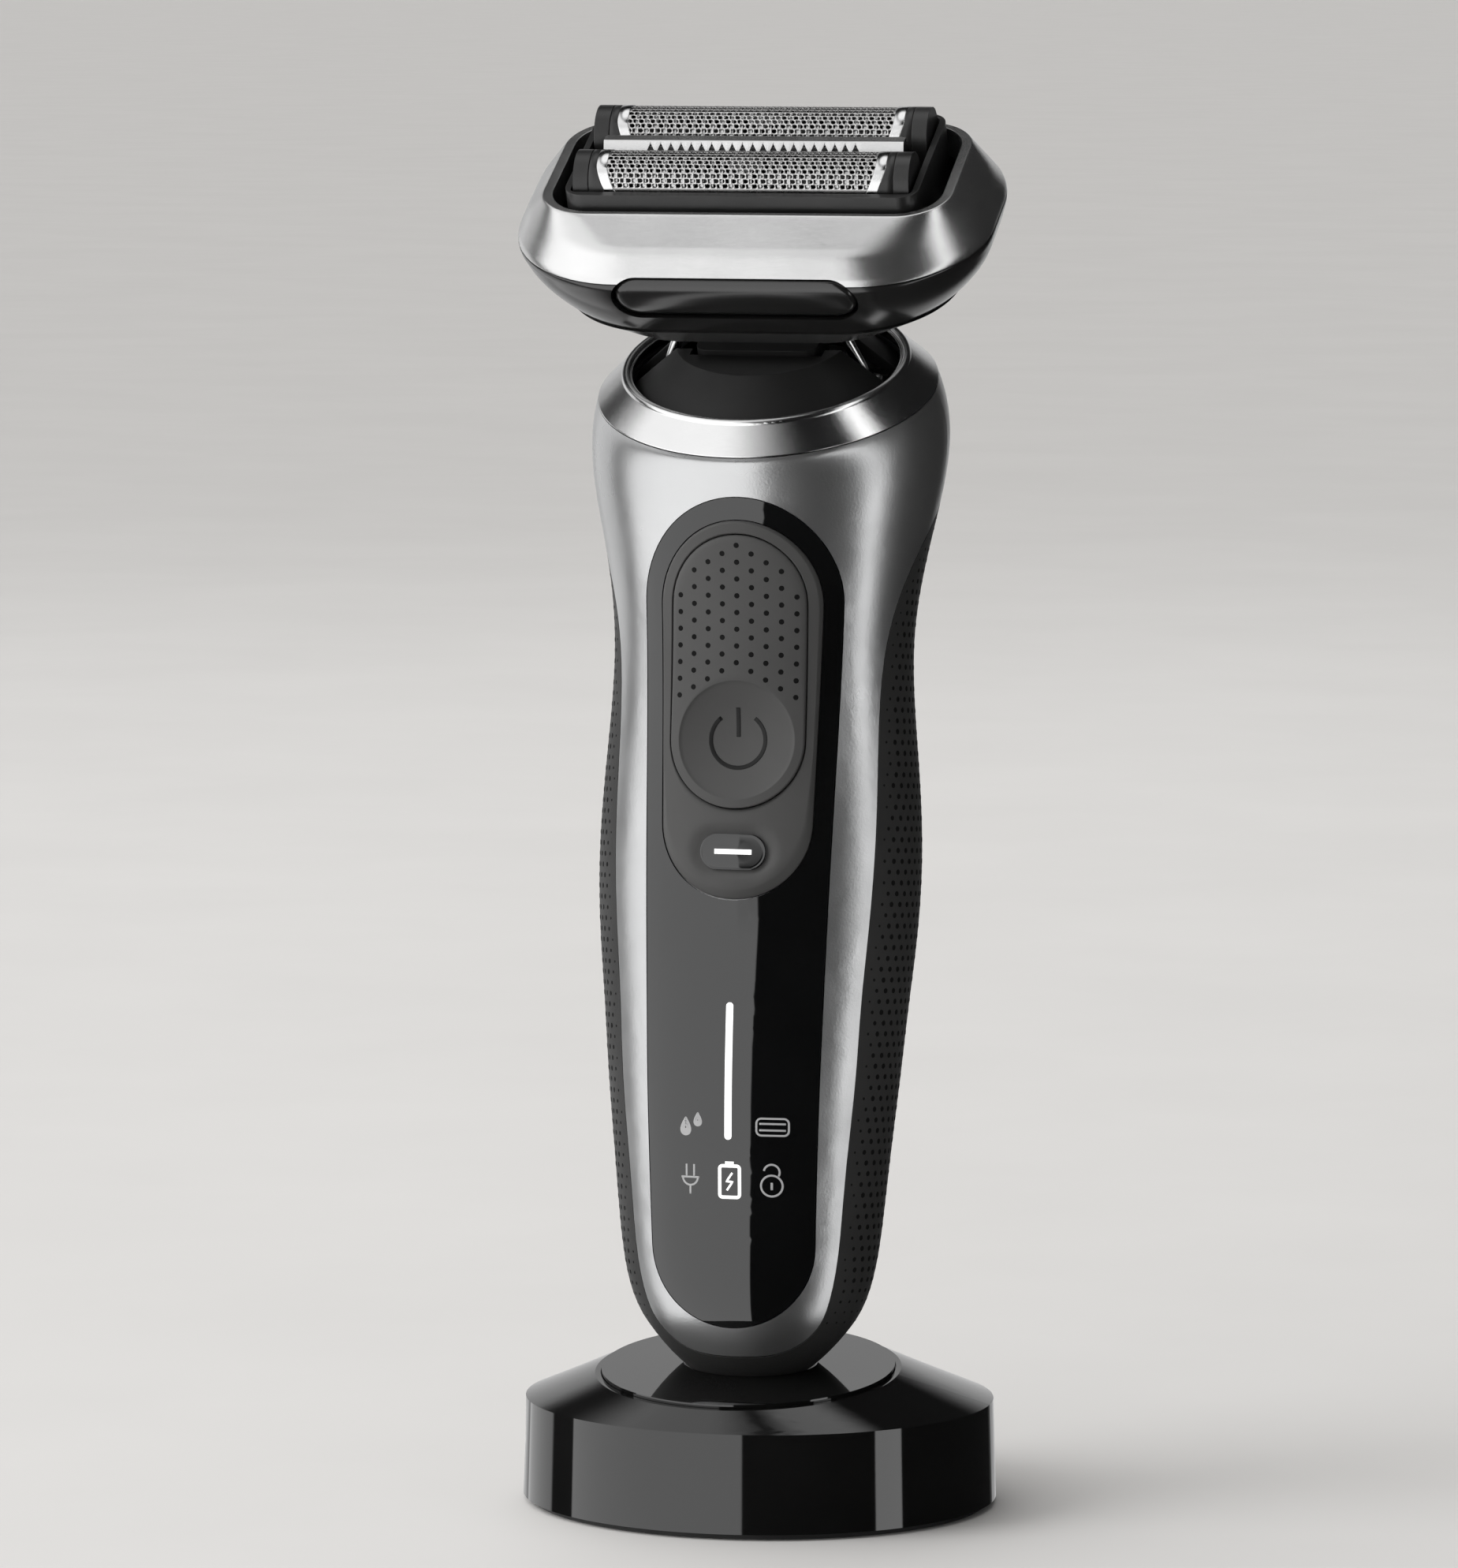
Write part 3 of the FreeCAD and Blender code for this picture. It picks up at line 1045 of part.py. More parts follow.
stand_board = body("stand_board_piece", "stand", 0, 0, "5.4")
stand_board_plan = drawn(stand_board, "stand_board_plan")
outline(stand_board_plan, [("-13", "-14"), ("13", "-14"), ("13", "15"), ("-13", "15")])
pad(stand_board, stand_board_plan, "1.2")
node(stand_board, "stand_board")
inlet_shell = plate("inlet_shell", "stand", "4.2", "2.4", "2.3", "0", "1")
pose(inlet_shell.Base, "stand", 0, 16, 6.8, turn=-90)
inlet_shell.setExpression("LengthFwd", "10")
inlet_mouth = plate("inlet_mouth", "stand", "3.4", "1.6", "1.5", "0", "1")
pose(inlet_mouth.Base, "stand", 0, 18.4, 6.8, turn=-90)
inlet_mouth.setExpression("LengthFwd", "10")
node(cut("power_inlet_piece", inlet_shell, inlet_mouth), "power_inlet")
node(group("inlet_pins_piece", *[rod_y("inlet_pin_%d" % i, "stand", 0.6, 17, 24, x, 6.8)
                                 for i, x in enumerate((-1.6, 1.6))]), "power_inlet_pins")

# ---------------------------------------------------------------- check and export
doc.recompute()
for obj in doc.Objects:
    if "Invalid" in obj.State or "Error" in obj.State:
        raise RuntimeError("%s did not compute: %s" % (obj.Name, obj.State))
for obj in NODES:
    if obj.Shape.isNull() or not obj.Shape.isValid():
        raise RuntimeError(obj.Label + " is not a valid shape")
for old in os.listdir("parts"):
    if old.endswith(".step"):
        os.remove(os.path.join("parts", old))
for obj in NODES:
    obj.Shape.exportStep("parts/%s.step" % obj.Label)
    size = obj.Shape.optimalBoundingBox(False)
    print("%-22s %8.1f mm3 %2d solids  x %6.1f %6.1f  y %6.1f %6.1f  z %6.1f %6.1f" % (
        obj.Label, obj.Shape.Volume, len(obj.Shape.Solids), size.XMin, size.XMax, size.YMin, size.YMax,
        size.ZMin, size.ZMax))
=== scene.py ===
import json
from math import copysign, cos, hypot, pi, radians, sin

import bmesh
import bpy
import numpy as np
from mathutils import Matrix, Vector
from mathutils.bvhtree import BVHTree


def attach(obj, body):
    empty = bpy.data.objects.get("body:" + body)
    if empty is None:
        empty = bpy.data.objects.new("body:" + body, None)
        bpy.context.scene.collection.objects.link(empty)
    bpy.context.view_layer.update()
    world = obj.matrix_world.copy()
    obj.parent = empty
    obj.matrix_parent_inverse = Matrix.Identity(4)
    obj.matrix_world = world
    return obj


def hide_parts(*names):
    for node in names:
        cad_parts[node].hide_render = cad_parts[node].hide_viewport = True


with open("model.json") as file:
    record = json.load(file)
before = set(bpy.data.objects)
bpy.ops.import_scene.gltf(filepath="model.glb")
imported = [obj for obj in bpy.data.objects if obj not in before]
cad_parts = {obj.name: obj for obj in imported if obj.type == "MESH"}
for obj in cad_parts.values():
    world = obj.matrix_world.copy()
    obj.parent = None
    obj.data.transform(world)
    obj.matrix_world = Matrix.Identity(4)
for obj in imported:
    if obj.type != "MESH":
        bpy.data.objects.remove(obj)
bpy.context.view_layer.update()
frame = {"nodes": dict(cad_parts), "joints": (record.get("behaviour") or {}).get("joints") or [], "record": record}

MM = 0.001
joints = {joint["name"]: joint for joint in frame["joints"]}


# ---------------- frames of the part
class Axes:
    """A local frame of the part: x to the right, y away from the front, z along the part, all in mm."""

    def __init__(self, origin, up, back):
        self.origin = Vector(origin) * MM
        self.up = Vector(up).normalized()
        self.back = Vector(back).normalized()

    def at(self, x, y, z):
        return self.origin + Vector((x * MM, 0, 0)) + self.back * (y * MM) + self.up * (z * MM)


HANDLE_FOOT, HEAD_MIDDLE = (0, -6.6, 15.2), (0, 1.4, 161.9)
handle = Axes(HANDLE_FOOT, joints["shaver_lift"]["axis"], joints["power_button_press"]["axis"])
head = Axes(HEAD_MIDDLE, joints["cassette_lift"]["axis"], joints["head_roll"]["axis"])


# ---------------- node helpers
class Tree:
    """Short calls for building a node tree."""

    def __init__(self, owner):
        owner.use_nodes = True
        self.tree = owner.node_tree
        self.tree.nodes.clear()

    def put(self, kind, **settings):
        node = self.tree.nodes.new(kind)
        for key, value in settings.items():
            setattr(node, key, value)
        return node

    def join(self, source, target):
        self.tree.links.new(source, target)

    def feed(self, socket, value):
        if isinstance(value, (int, float, tuple)):
            socket.default_value = value
        else:
            self.join(value, socket)

    def math(self, operation, first, second=0.0, third=None):
        node = self.put("ShaderNodeMath", operation=operation)
        self.feed(node.inputs[0], first)
        self.feed(node.inputs[1], second)
        if third is not None:
            self.feed(node.inputs[2], third)
        return node.outputs[0]

    def remap(self, value, low, high, to_low=0.0, to_high=1.0, smooth=False):
        node = self.put("ShaderNodeMapRange", interpolation_type="SMOOTHSTEP" if smooth else "LINEAR")
        self.feed(node.inputs[0], value)
        for socket, number in zip(list(node.inputs)[1:5], (low, high, to_low, to_high)):
            self.feed(socket, number)
        return node.outputs[0]

    def noise(self, where, scale, detail=3.0, rough=0.55, stretch=None):
        if stretch:
            mapping = self.put("ShaderNodeMapping")
            mapping.inputs["Scale"].default_value = stretch
            self.join(where, mapping.inputs["Vector"])
            where = mapping.outputs[0]
        node = self.put("ShaderNodeTexNoise")
        self.join(where, node.inputs["Vector"])
        node.inputs["Scale"].default_value = scale
        node.inputs["Detail"].default_value = detail
        node.inputs["Roughness"].default_value = rough
        return node.outputs["Fac"]

    def mix(self, factor, first, second):
        node = self.put("ShaderNodeMix", data_type="RGBA")
        self.feed(node.inputs["Factor"], factor)
        self.feed(node.inputs[6], first)
        self.feed(node.inputs[7], second)
        return node.outputs[2]


def grey(level, warm=0.0):
    return (level * (1 + warm), level, level * (1 - warm), 1.0)


IOR = 1.5
BEVEL_SAMPLES = 4
WORN_REACH = 0.25  # mm, how wide the worn band of an edge is
WORN_SCALE = 300.0  # per metre, the patches in the wear
FLAT, TURNED = 0.995, 0.90  # cosines between which an edge counts as more and more worn
GRAIN_HEIGHT = 0.0001  # m, what a bump of 1 stands for


def look(name, dark, light, rough, metal=0.0, cloud=40.0, grain=2500.0, bump=0.05, stretch=None, streak=0.0,
         edge=None, coat=0.0, coat_rough=0.03, specular=0.5, sheen=0.0, round_edge=0.0, spread=0.5):
    """A surface of two shades mixed by a slow noise, with its roughness from a second and a fine grain.

    cloud and grain are noise scales per metre, streak is the share of long lines along stretch, edge is the
    colour of worn edges, and round_edge is the radius in mm that the shading gives to sharp edges.
    """
    material = bpy.data.materials.new(name)
    t = Tree(material)
    out = t.put("ShaderNodeOutputMaterial")
    shader = t.put("ShaderNodeBsdfPrincipled")
    t.join(shader.outputs[0], out.inputs[0])
    where = t.put("ShaderNodeTexCoord").outputs["Object"]
    slow = t.noise(where, cloud, 4.0)
    fine = t.noise(where, grain, 2.0, 0.6, stretch)
    colour = t.mix(t.remap(slow, 0.5 - 0.3 * spread, 0.5 + 0.3 * spread), dark, light)
    if streak:
        long_lines = t.noise(where, grain * 0.3, 3.0, 0.7, stretch)
        colour = t.mix(t.math("MULTIPLY", t.remap(long_lines, 0.35, 0.65), streak), colour, dark)
    if edge:
        rim = t.put("ShaderNodeBevel", samples=BEVEL_SAMPLES)
        rim.inputs["Radius"].default_value = WORN_REACH * MM
        geometry = t.put("ShaderNodeNewGeometry")
        turn = t.put("ShaderNodeVectorMath", operation="DOT_PRODUCT")
        t.join(rim.outputs[0], turn.inputs[0])
        t.join(geometry.outputs["Normal"], turn.inputs[1])
        worn = t.remap(turn.outputs["Value"], FLAT, TURNED)
        patchy = t.math("MULTIPLY", worn, t.remap(t.noise(where, WORN_SCALE), 0.4, 0.6))
        colour = t.mix(patchy, colour, edge)
    t.join(colour, shader.inputs["Base Color"])
    low, high = rough
    t.join(t.remap(t.noise(where, cloud * 3.1, 3.0), 0.3, 0.7, low, high), shader.inputs["Roughness"])
    ripple = t.put("ShaderNodeBump")
    ripple.inputs["Strength"].default_value = bump
    ripple.inputs["Distance"].default_value = GRAIN_HEIGHT
    t.join(fine, ripple.inputs["Height"])
    if round_edge:
        soft = t.put("ShaderNodeBevel", samples=BEVEL_SAMPLES)
        soft.inputs["Radius"].default_value = round_edge * MM
        t.join(soft.outputs[0], ripple.inputs["Normal"])
    t.join(ripple.outputs[0], shader.inputs["Normal"])
    for socket, value in (("Metallic", metal), ("Coat Weight", coat), ("Coat Roughness", coat_rough),
                          ("Specular IOR Level", specular), ("Sheen Weight", sheen), ("IOR", IOR)):
        shader.inputs[socket].default_value = value
    return material


GLOW_SCALE = 900.0  # per metre, the unevenness of lit plastic
GLOW_DIM = 0.86  # how bright its dullest places are


def glow(name, level, strength, colour=(1.0, 1.0, 1.0)):
    """A lit diffuser: white plastic with a faint unevenness in what it gives out. Grey print made with it glows as
    painted light, though it is no lamp.
    """
    material = look(name, grey(0.6 * level), grey(0.8 * level), (0.25, 0.4), bump=0.02)
    nodes, links = material.node_tree.nodes, material.node_tree.links
    shader = nodes["Principled BSDF"]
    where = nodes.new("ShaderNodeTexCoord").outputs["Object"]
    noise = nodes.new("ShaderNodeTexNoise")
    noise.inputs["Scale"].default_value = GLOW_SCALE
    links.new(where, noise.inputs["Vector"])
    ramp = nodes.new("ShaderNodeValToRGB")
    ramp.color_ramp.elements[0].color = tuple(GLOW_DIM * c for c in colour) + (1,)
    ramp.color_ramp.elements[1].color = tuple(colour) + (1,)
    links.new(noise.outputs["Fac"], ramp.inputs[0])
    links.new(ramp.outputs[0], shader.inputs["Emission Color"])
    shader.inputs["Emission Strength"].default_value = strength
    return material


# ---------------- looks
ALONG_X, ALONG_Y = (1.0, 40.0, 40.0), (40.0, 1.0, 40.0)
looks = {
    # metals
    "silver": look("satin_silver", grey(0.45, -0.01), grey(0.52, -0.005), (0.27, 0.33), metal=0.92,
                   grain=3500.0, bump=0.14, coat=0.12, coat_rough=0.25, spread=0.9),
    "head_silver": look("brushed_silver", grey(0.54), grey(0.63), (0.20, 0.27), metal=0.95, grain=900.0,
                        bump=0.08, stretch=ALONG_X, streak=0.22),
    "chrome": look("polished_chrome", grey(0.60), grey(0.70), (0.13, 0.18), metal=1.0, grain=1200.0,
                   bump=0.05, stretch=ALONG_X, streak=0.2, edge=grey(0.8), round_edge=0.15),
    "steel": look("machined_steel", grey(0.42), grey(0.55), (0.22, 0.34), metal=1.0, grain=1100.0, bump=0.12,
                  stretch=ALONG_Y, streak=0.3, edge=grey(0.8), round_edge=0.08),
    "foil": look("foil_steel", grey(0.48, 0.01), grey(0.58, 0.01), (0.24, 0.32), metal=1.0, grain=1600.0,
                 bump=0.06, stretch=ALONG_X, streak=0.2),
    "copper": look("copper_wire", (0.62, 0.28, 0.14, 1), (0.75, 0.36, 0.2, 1), (0.22, 0.35), metal=1.0,
                   grain=1500.0, bump=0.1),
    # glossy plastics
    "gloss_black": look("piano_black", grey(0.0035), grey(0.006), (0.025, 0.05), grain=900.0, bump=0.006,
                        coat=0.4, coat_rough=0.02),
    "bowl": look("head_black", grey(0.010), grey(0.014), (0.16, 0.22), grain=1500.0, bump=0.02, coat=0.3,
                 coat_rough=0.12),
    "panel": look("panel_black", grey(0.0030, -0.05), grey(0.0050, -0.05), (0.02, 0.04), grain=700.0,
                  bump=0.004, coat=0.5, coat_rough=0.015),
    # soft and matte plastics
    "soft_grey": look("soft_touch", grey(0.066), grey(0.078), (0.46, 0.54), grain=4200.0, bump=0.10,
                      specular=0.12, sheen=0.03),
    "rubber": look("grip_rubber", grey(0.022), grey(0.031), (0.52, 0.64), grain=3800.0, bump=0.22,
                   edge=grey(0.04), specular=0.2, sheen=0.03, round_edge=0.2),
    "black_plastic": look("matte_plastic", grey(0.010), grey(0.016), (0.30, 0.42), grain=3600.0, bump=0.14,
                          edge=grey(0.04), round_edge=0.15),
    "dome": look("dome_plastic", grey(0.007), grey(0.010), (0.46, 0.56), grain=4400.0, bump=0.12,
                 edge=grey(0.03), round_edge=0.2, specular=0.3),
    # painted shade: the near-black dimple colour, far darker than the rubber and the button round them, stands in
    # for the shade inside each shallow hollow
    "hole": look("dimple_painted_shade", grey(0.002), grey(0.004), (0.6, 0.8), grain=3000.0, bump=0.1, specular=0.15),
    # electronics, prints and lights
    "board": look("circuit_board", (0.004, 0.05, 0.02, 1), (0.008, 0.09, 0.035, 1), (0.25, 0.4),
                  grain=1500.0, bump=0.1),
    "cell": look("cell_wrap", (0.01, 0.04, 0.16, 1), (0.02, 0.06, 0.22, 1), (0.25, 0.35), grain=1200.0,
                 bump=0.05),
    "ink_dark": look("ink_dark", grey(0.003), grey(0.005), (0.45, 0.6), grain=3000.0, bump=0.05,
                     specular=0.3),
    "light": glow("lit_white", 1.0, 0.95),
    # painted light: grey print given a faint glow of its own, though it is no lamp
    "grey_print_painted_glow": glow("grey_print_painted_glow", 0.35, 0.16, (0.96, 0.97, 1.0)),
    "ink_white": glow("ink_white", 0.9, 0.75),
}

SPECIAL = {"display_panel": "panel", "mode_window": "panel", "head_frame": "head_silver",
           "head_bottom_rim": "head_silver", "neck_dome": "dome", "neck_block": "dome"}
subparts = {entry["node"]: entry for entry in frame["record"]["subparts"]}
for name, node in frame["nodes"].items():
    finish = SPECIAL.get(name, subparts[name]["material_slot"])
    node.data.materials.clear()
    node.data.materials.append(looks[finish])


# ---------------- mesh helpers
def add_object(name, data):
    """A new object in the scene."""
    made = bpy.data.objects.new(name, data)
    bpy.context.scene.collection.objects.link(made)
    return made


MERGE = 1e-6  # m, points of a piece that are closer than this are one point


def outward(mesh, merge=0.0):
    """Turns the faces of a mesh outwards, after joining the points closer than merge."""
    shell = bmesh.new()
    shell.from_mesh(mesh)
    if merge:
        bmesh.ops.remove_doubles(shell, verts=shell.verts, dist=merge)
    bmesh.ops.recalc_face_normals(shell, faces=shell.faces)
    shell.to_mesh(mesh)
    shell.free()


def piece(name, points, faces, finish, body, slot, smooth=True):
    """A new mesh object that rides on a body."""
    mesh = bpy.data.meshes.new(name)
    mesh.from_pydata([tuple(p) for p in points], [], faces)
    mesh.validate()
    outward(mesh, MERGE)
    for polygon in mesh.polygons:
        polygon.use_smooth = smooth
    mesh.materials.append(looks[finish])
    made = add_object(name, mesh)
    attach(made, body)
    return made


def tree_of(*names):
    """A ray tree over the meshes of some CAD nodes."""
    points, faces = [], []
    for name in names:
        mesh = frame["nodes"][name].data
        base = len(points)
        points += [v.co.copy() for v in mesh.vertices]
        faces += [[base + i for i in polygon.vertices] for polygon in mesh.polygons]
    return BVHTree.FromPolygons(points, faces)


def tree_from(made):
    """A ray tree over a made piece."""
    return BVHTree.FromPolygons([v.co.copy() for v in made.data.vertices],
                                [tuple(polygon.vertices) for polygon in made.data.polygons])


CLEAR = 40.0  # mm, a start well clear of the shaver, in front of it or behind it


def front_hit(tree, x, z):
    """Where a line from in front of the handle, parallel to its depth, meets a surface."""
    start = handle.at(x, -CLEAR, z)
    spot, normal, _, _ = tree.ray_cast(start, handle.back)
    if spot is None:
        return None
    if normal.dot(handle.back) > 0:
        normal = -normal
    return spot, normal


def discs(name, places, finish, body, slot, sides=10, rise=0.03):
    """Small round dimples: each is a low rim on the surface with a hollow middle."""
    rims = ((1.0, -0.03), (0.93, 0.35 * rise), (0.66, rise), (0.30, 0.45 * rise))
    points, faces = [], []
    for spot, normal, radius in places:
        side = normal.cross(Vector((0.3, 0.2, 0.9))).normalized()
        other = normal.cross(side)
        base = len(points)
        for reach, height in rims:
            for k in range(sides):
                angle = 2 * pi * k / sides
                around = side * cos(angle) + other * sin(angle)
                points.append(spot + around * (radius * reach * MM) + normal * (height * MM))
        points.append(spot + normal * (0.35 * rise * MM))
        last = len(rims) - 1
        for ring in range(last):
            for k in range(sides):
                a, b = base + ring * sides + k, base + ring * sides + (k + 1) % sides
                faces.append((a, b, b + sides, a + sides))
        for k in range(sides):
            faces.append((base + last * sides + k, base + last * sides + (k + 1) % sides,
                          base + len(rims) * sides))
    return piece(name, points, faces, finish, body, slot)


# the section of a printed line: across it as a share of its half width, and how high, in mm
INK_SECTION = ((-1, -0.05), (-1, 0.03), (-0.7, 1.25 * 0.03), (0.7, 1.25 * 0.03), (1, 0.03), (1, -0.05))


def ribbons(name, strokes, tree, finish, body, slot):
    """Raised printed lines on the front.

    Each stroke is a list of (x, z), its width, and whether it closes.
    """
    wide = len(INK_SECTION)
    points, faces = [], []
    for path, width, closed in strokes:
        count = len(path)
        rows = []
        for i, (x, z) in enumerate(path):
            ahead = path[(i + 1) % count] if closed or i + 1 < count else path[i]
            behind = path[i - 1] if closed or i else path[i]
            along = Vector((ahead[0] - behind[0], ahead[1] - behind[1]))
            along.normalize()
            across = Vector((-along.y, along.x)) * (0.5 * width)
            row = []
            for side, height in INK_SECTION:
                hit = front_hit(tree, x + side * across.x, z + side * across.y)
                if hit is None:
                    break
                row.append(hit[0] + hit[1] * (height * MM))
            if len(row) == wide:
                rows.append(len(points))
                points += row
        pairs = list(zip(rows, rows[1:]))
        if closed:
            pairs.append((rows[-1], rows[0]))
        for a, b in pairs:
            for k in range(wide - 1):
                faces.append((a + k, a + k + 1, b + k + 1, b + k))
        if not closed:
            for a in (rows[0], rows[-1]):
                faces.append(tuple(a + k for k in range(wide)))
    return piece(name, points, faces, finish, body, slot)


LINE_STEP, BOX_STEP = 0.25, 0.3  # mm, how close together the points of a line and of a box lie


def ring_path(x, z, radius, first=0.0, last=360.0, count=32):
    """Points round a circle; angles in degrees from straight up, clockwise."""
    steps = count if last - first >= 360 else count + 1
    turns = [radians(first + (last - first) * k / count) for k in range(steps)]
    return [(x + radius * sin(turn), z + radius * cos(turn)) for turn in turns]


def line_path(*corners):
    """Points along straight runs between corners, close together."""
    path = []
    for (x0, z0), (x1, z1) in zip(corners, corners[1:]):
        count = max(1, int(hypot(x1 - x0, z1 - z0) / LINE_STEP))
        path += [(x0 + (x1 - x0) * k / count, z0 + (z1 - z0) * k / count) for k in range(count)]
    path.append(corners[-1])
    return path


def round_box(x, z, half_x, half_z, radius, step=6):
    """A closed path round a rectangle with rounded corners."""
    path = []
    for sign_x, sign_z, first in ((1, 1, 0), (1, -1, 90), (-1, -1, 180), (-1, 1, 270)):
        middle = (x + sign_x * (half_x - radius), z + sign_z * (half_z - radius))
        turns = [radians(first + 90 * k / step) for k in range(step + 1)]
        path += [(middle[0] + radius * sin(t), middle[1] + radius * cos(t)) for t in turns]
    dense = []
    for (x0, z0), (x1, z1) in zip(path, path[1:] + path[:1]):
        count = max(1, int(hypot(x1 - x0, z1 - z0) / BOX_STEP))
        dense += [(x0 + (x1 - x0) * k / count, z0 + (z1 - z0) * k / count) for k in range(count)]
    return dense


# ---------------- power button, its pad and the mode window
DISH_Z, DISH_R, DISH_DEEP, DISH_RINGS = 81.2, 7.3, 2.1, 18
DISH_KEEP = 7.8  # the face of the button is measured outside this radius
BUTTON_TOP_Z, BUTTON_R = 98.0, 8.45
BUTTON_GAP = 0.14
FIELD_RINGS = 24
# the rim of the button: share of the way out from the dish, and how deep below the face
BUTTON_RIM = ((0.93, 0.02), (0.965, 0.08), (0.985, 0.16), (1.0, 0.32), (1.0, 1.9))
DIMPLE_COLUMN, DIMPLE_ROW, DIMPLE_R, DIMPLE_LOW_Z = 1.84, 2.06, 0.36, 86.6
DIMPLE_MARGIN = 0.85
MARK_R, MARK_OPEN, MARK_WIDTH = 3.45, 38, 0.50

PAD_TOP_Z, PAD_TOP_R, PAD_LOW_Z, PAD_LOW_R = 98.0, 10.2, 71.0, 9.5
PAD_MIDDLE_Z, PAD_HALF_X = 85.0, 9.2
# the pad: share of the way out from the button, and how deep below the face
PAD_INNER = ((0.0, 2.0), (0.0, 0.22), (0.04, 0.06))
PAD_OUTER = ((0.82, 0.04), (0.86, 0.15), (0.91, 0.36), (0.96, 0.62), (0.99, 0.80), (1.0, 0.88), (1.0, 1.7))

WINDOW_Z, WINDOW_HALF_X, WINDOW_HALF_Z = 67.4, 4.2, 2.2
WINDOW_HOLLOW, WINDOW_SOFT = 0.62, 1.6
LENS_PROFILE = ((0.02, 0.30), (0.3, 0.30), (0.6, 0.30), (0.85, 0.30), (0.95, 0.29), (1.0, 0.22), (1.0, 0.62))
LENS_AROUND = 96
AROUND = 144
TURNS = [2 * pi * k / AROUND for k in range(AROUND)]


class Face:
    """A smooth depth y(x, z) fitted to the front of a CAD node, in the handle's frame, mm."""

    STEP_X, HALF_COUNT = 0.55, 18
    LOW_Z, STEP_Z, COUNT_Z = 58.0, 0.5, 100

    def __init__(self, node, keep):
        tree = tree_of(node)
        rows, depths = [], []
        for i in range(-self.HALF_COUNT, self.HALF_COUNT + 1):
            for j in range(self.COUNT_Z):
                x, z = i * self.STEP_X, self.LOW_Z + j * self.STEP_Z
                hit = front_hit(tree, x, z) if keep(x, z) else None
                if hit:
                    away = (hit[0] - handle.origin) / MM
                    rows.append(self.terms(x, z))
                    depths.append(away.dot(handle.back))
        self.weights = np.linalg.lstsq(np.array(rows), np.array(depths), rcond=None)[0]

    @staticmethod
    def terms(x, z):
        h = (z - PAD_MIDDLE_Z) / 20.0
        w = (x / 10.0) ** 2
        return [1.0, h, h * h, h ** 3, w, w * h, w * w, w * h * h]

    def at(self, x, z, drop):
        """The point that lies drop below the face."""
        depth = float(np.dot(self.weights, self.terms(x, z)))
        return handle.at(x, depth + drop, z)


def pill_reach(angle, from_z, top_z, top_r, low_z, low_r):
    """How far it is from (0, from_z) to a tall pill's outline, for an angle from straight up, clockwise."""
    low, high = 0.0, 60.0
    for _ in range(40):
        middle = 0.5 * (low + high)
        x, z = middle * sin(angle), from_z + middle * cos(angle)
        if z > top_z:
            inside = hypot(x, z - top_z) < top_r
        elif z < low_z:
            inside = hypot(x, z - low_z) < low_r
        else:
            inside = abs(x) < low_r + (top_r - low_r) * (z - low_z) / (top_z - low_z)
        low, high = (middle, high) if inside else (low, middle)
    return low


def skin(rings, closed_middle=False):
    """Faces over a list of rings of points, each ring closed on itself."""
    points, faces = [], []
    for ring in rings:
        points += ring
    count = len(rings[0])
    for j in range(len(rings) - 1):
        for k in range(count):
            a, b = j * count + k, j * count + (k + 1) % count
            faces.append((a, b, b + count, a + count))
    if closed_middle:
        faces.append(tuple(range(count)))
    return points, faces


def power_button_cap():
    """The cap of the button: a round dish near its low end, a plain field and a rounded rim."""
    face = Face("power_button", lambda x, z: hypot(x, z - DISH_Z) > DISH_KEEP)
    lip = DISH_R + 0.08

    def ring(reaches, drop):
        return [face.at(r * sin(t), DISH_Z + r * cos(t), drop) for r, t in zip(reaches, TURNS)]

    rings = []
    for k in range(DISH_RINGS + 1):
        share = 0.03 + 0.97 * k / DISH_RINGS
        rings.append(ring([DISH_R * share * 0.99] * AROUND, DISH_DEEP * (1 - share ** 2.0) + 0.12))
    rings.append(ring([DISH_R - 0.02] * AROUND, 0.05))
    rings.append(ring([lip] * AROUND, 0.0))
    edge = [pill_reach(t, DISH_Z, BUTTON_TOP_Z, BUTTON_R, DISH_Z, BUTTON_R) for t in TURNS]
    for share, drop in [(k / FIELD_RINGS, 0.0) for k in range(1, 22)] + list(BUTTON_RIM):
        reaches = [lip + (r - lip) * share for r in edge]
        if drop and share < 1:
            reaches = [max(near, r - (1 - share) * 12) for near, r in zip(reaches, edge)]
        rings.append(ring(reaches, drop))
    cover = skin(rings, closed_middle=True)
    button_cap = piece("power_button_cap", *cover, "soft_grey", "button", "soft_grey")
    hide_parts("power_button")
    return tree_from(button_cap)


def button_dimples(button):
    """Staggered columns of dimples above the dish."""
    places = []
    for column in range(-4, 5):
        x = column * DIMPLE_COLUMN
        for row in range(16):
            z = DIMPLE_LOW_Z + DIMPLE_ROW * (row + (0.5 if column % 2 else 0.0)) - 2 * DIMPLE_ROW
            clear_of_dish = hypot(x, z - DISH_Z) > DISH_R + DIMPLE_MARGIN
            inside_top = z < BUTTON_TOP_Z or hypot(x, z - BUTTON_TOP_Z) < BUTTON_R - DIMPLE_MARGIN
            hit = front_hit(button, x, z) if z > DISH_Z + 1 and clear_of_dish and inside_top else None
            if hit:
                places.append((hit[0], hit[1], DIMPLE_R))
    # the dimples take the near-black colour of painted shade
    discs("button_dimples", places, "hole", "button", "soft_grey")


def power_mark(button):
    """The usual power sign: an open ring and a bar."""
    strokes = [(ring_path(0, DISH_Z, MARK_R, MARK_OPEN, 360 - MARK_OPEN, 40), MARK_WIDTH, False),
               (line_path((0, DISH_Z + 0.4), (0, DISH_Z + 4.0)), 0.52, False)]
    ribbons("power_mark", strokes, button, "ink_dark", "button", "soft_grey")


def window_drop(x, z):
    """The soft hollow round the mode window."""
    past = max(abs(x) - (WINDOW_HALF_X - WINDOW_HALF_Z), 0.0)
    away = hypot(past, z - WINDOW_Z) - WINDOW_HALF_Z
    share = min(1.0, max(0.0, (1.55 - away) / WINDOW_SOFT))
    return WINDOW_HOLLOW * share * share * (3 - 2 * share)


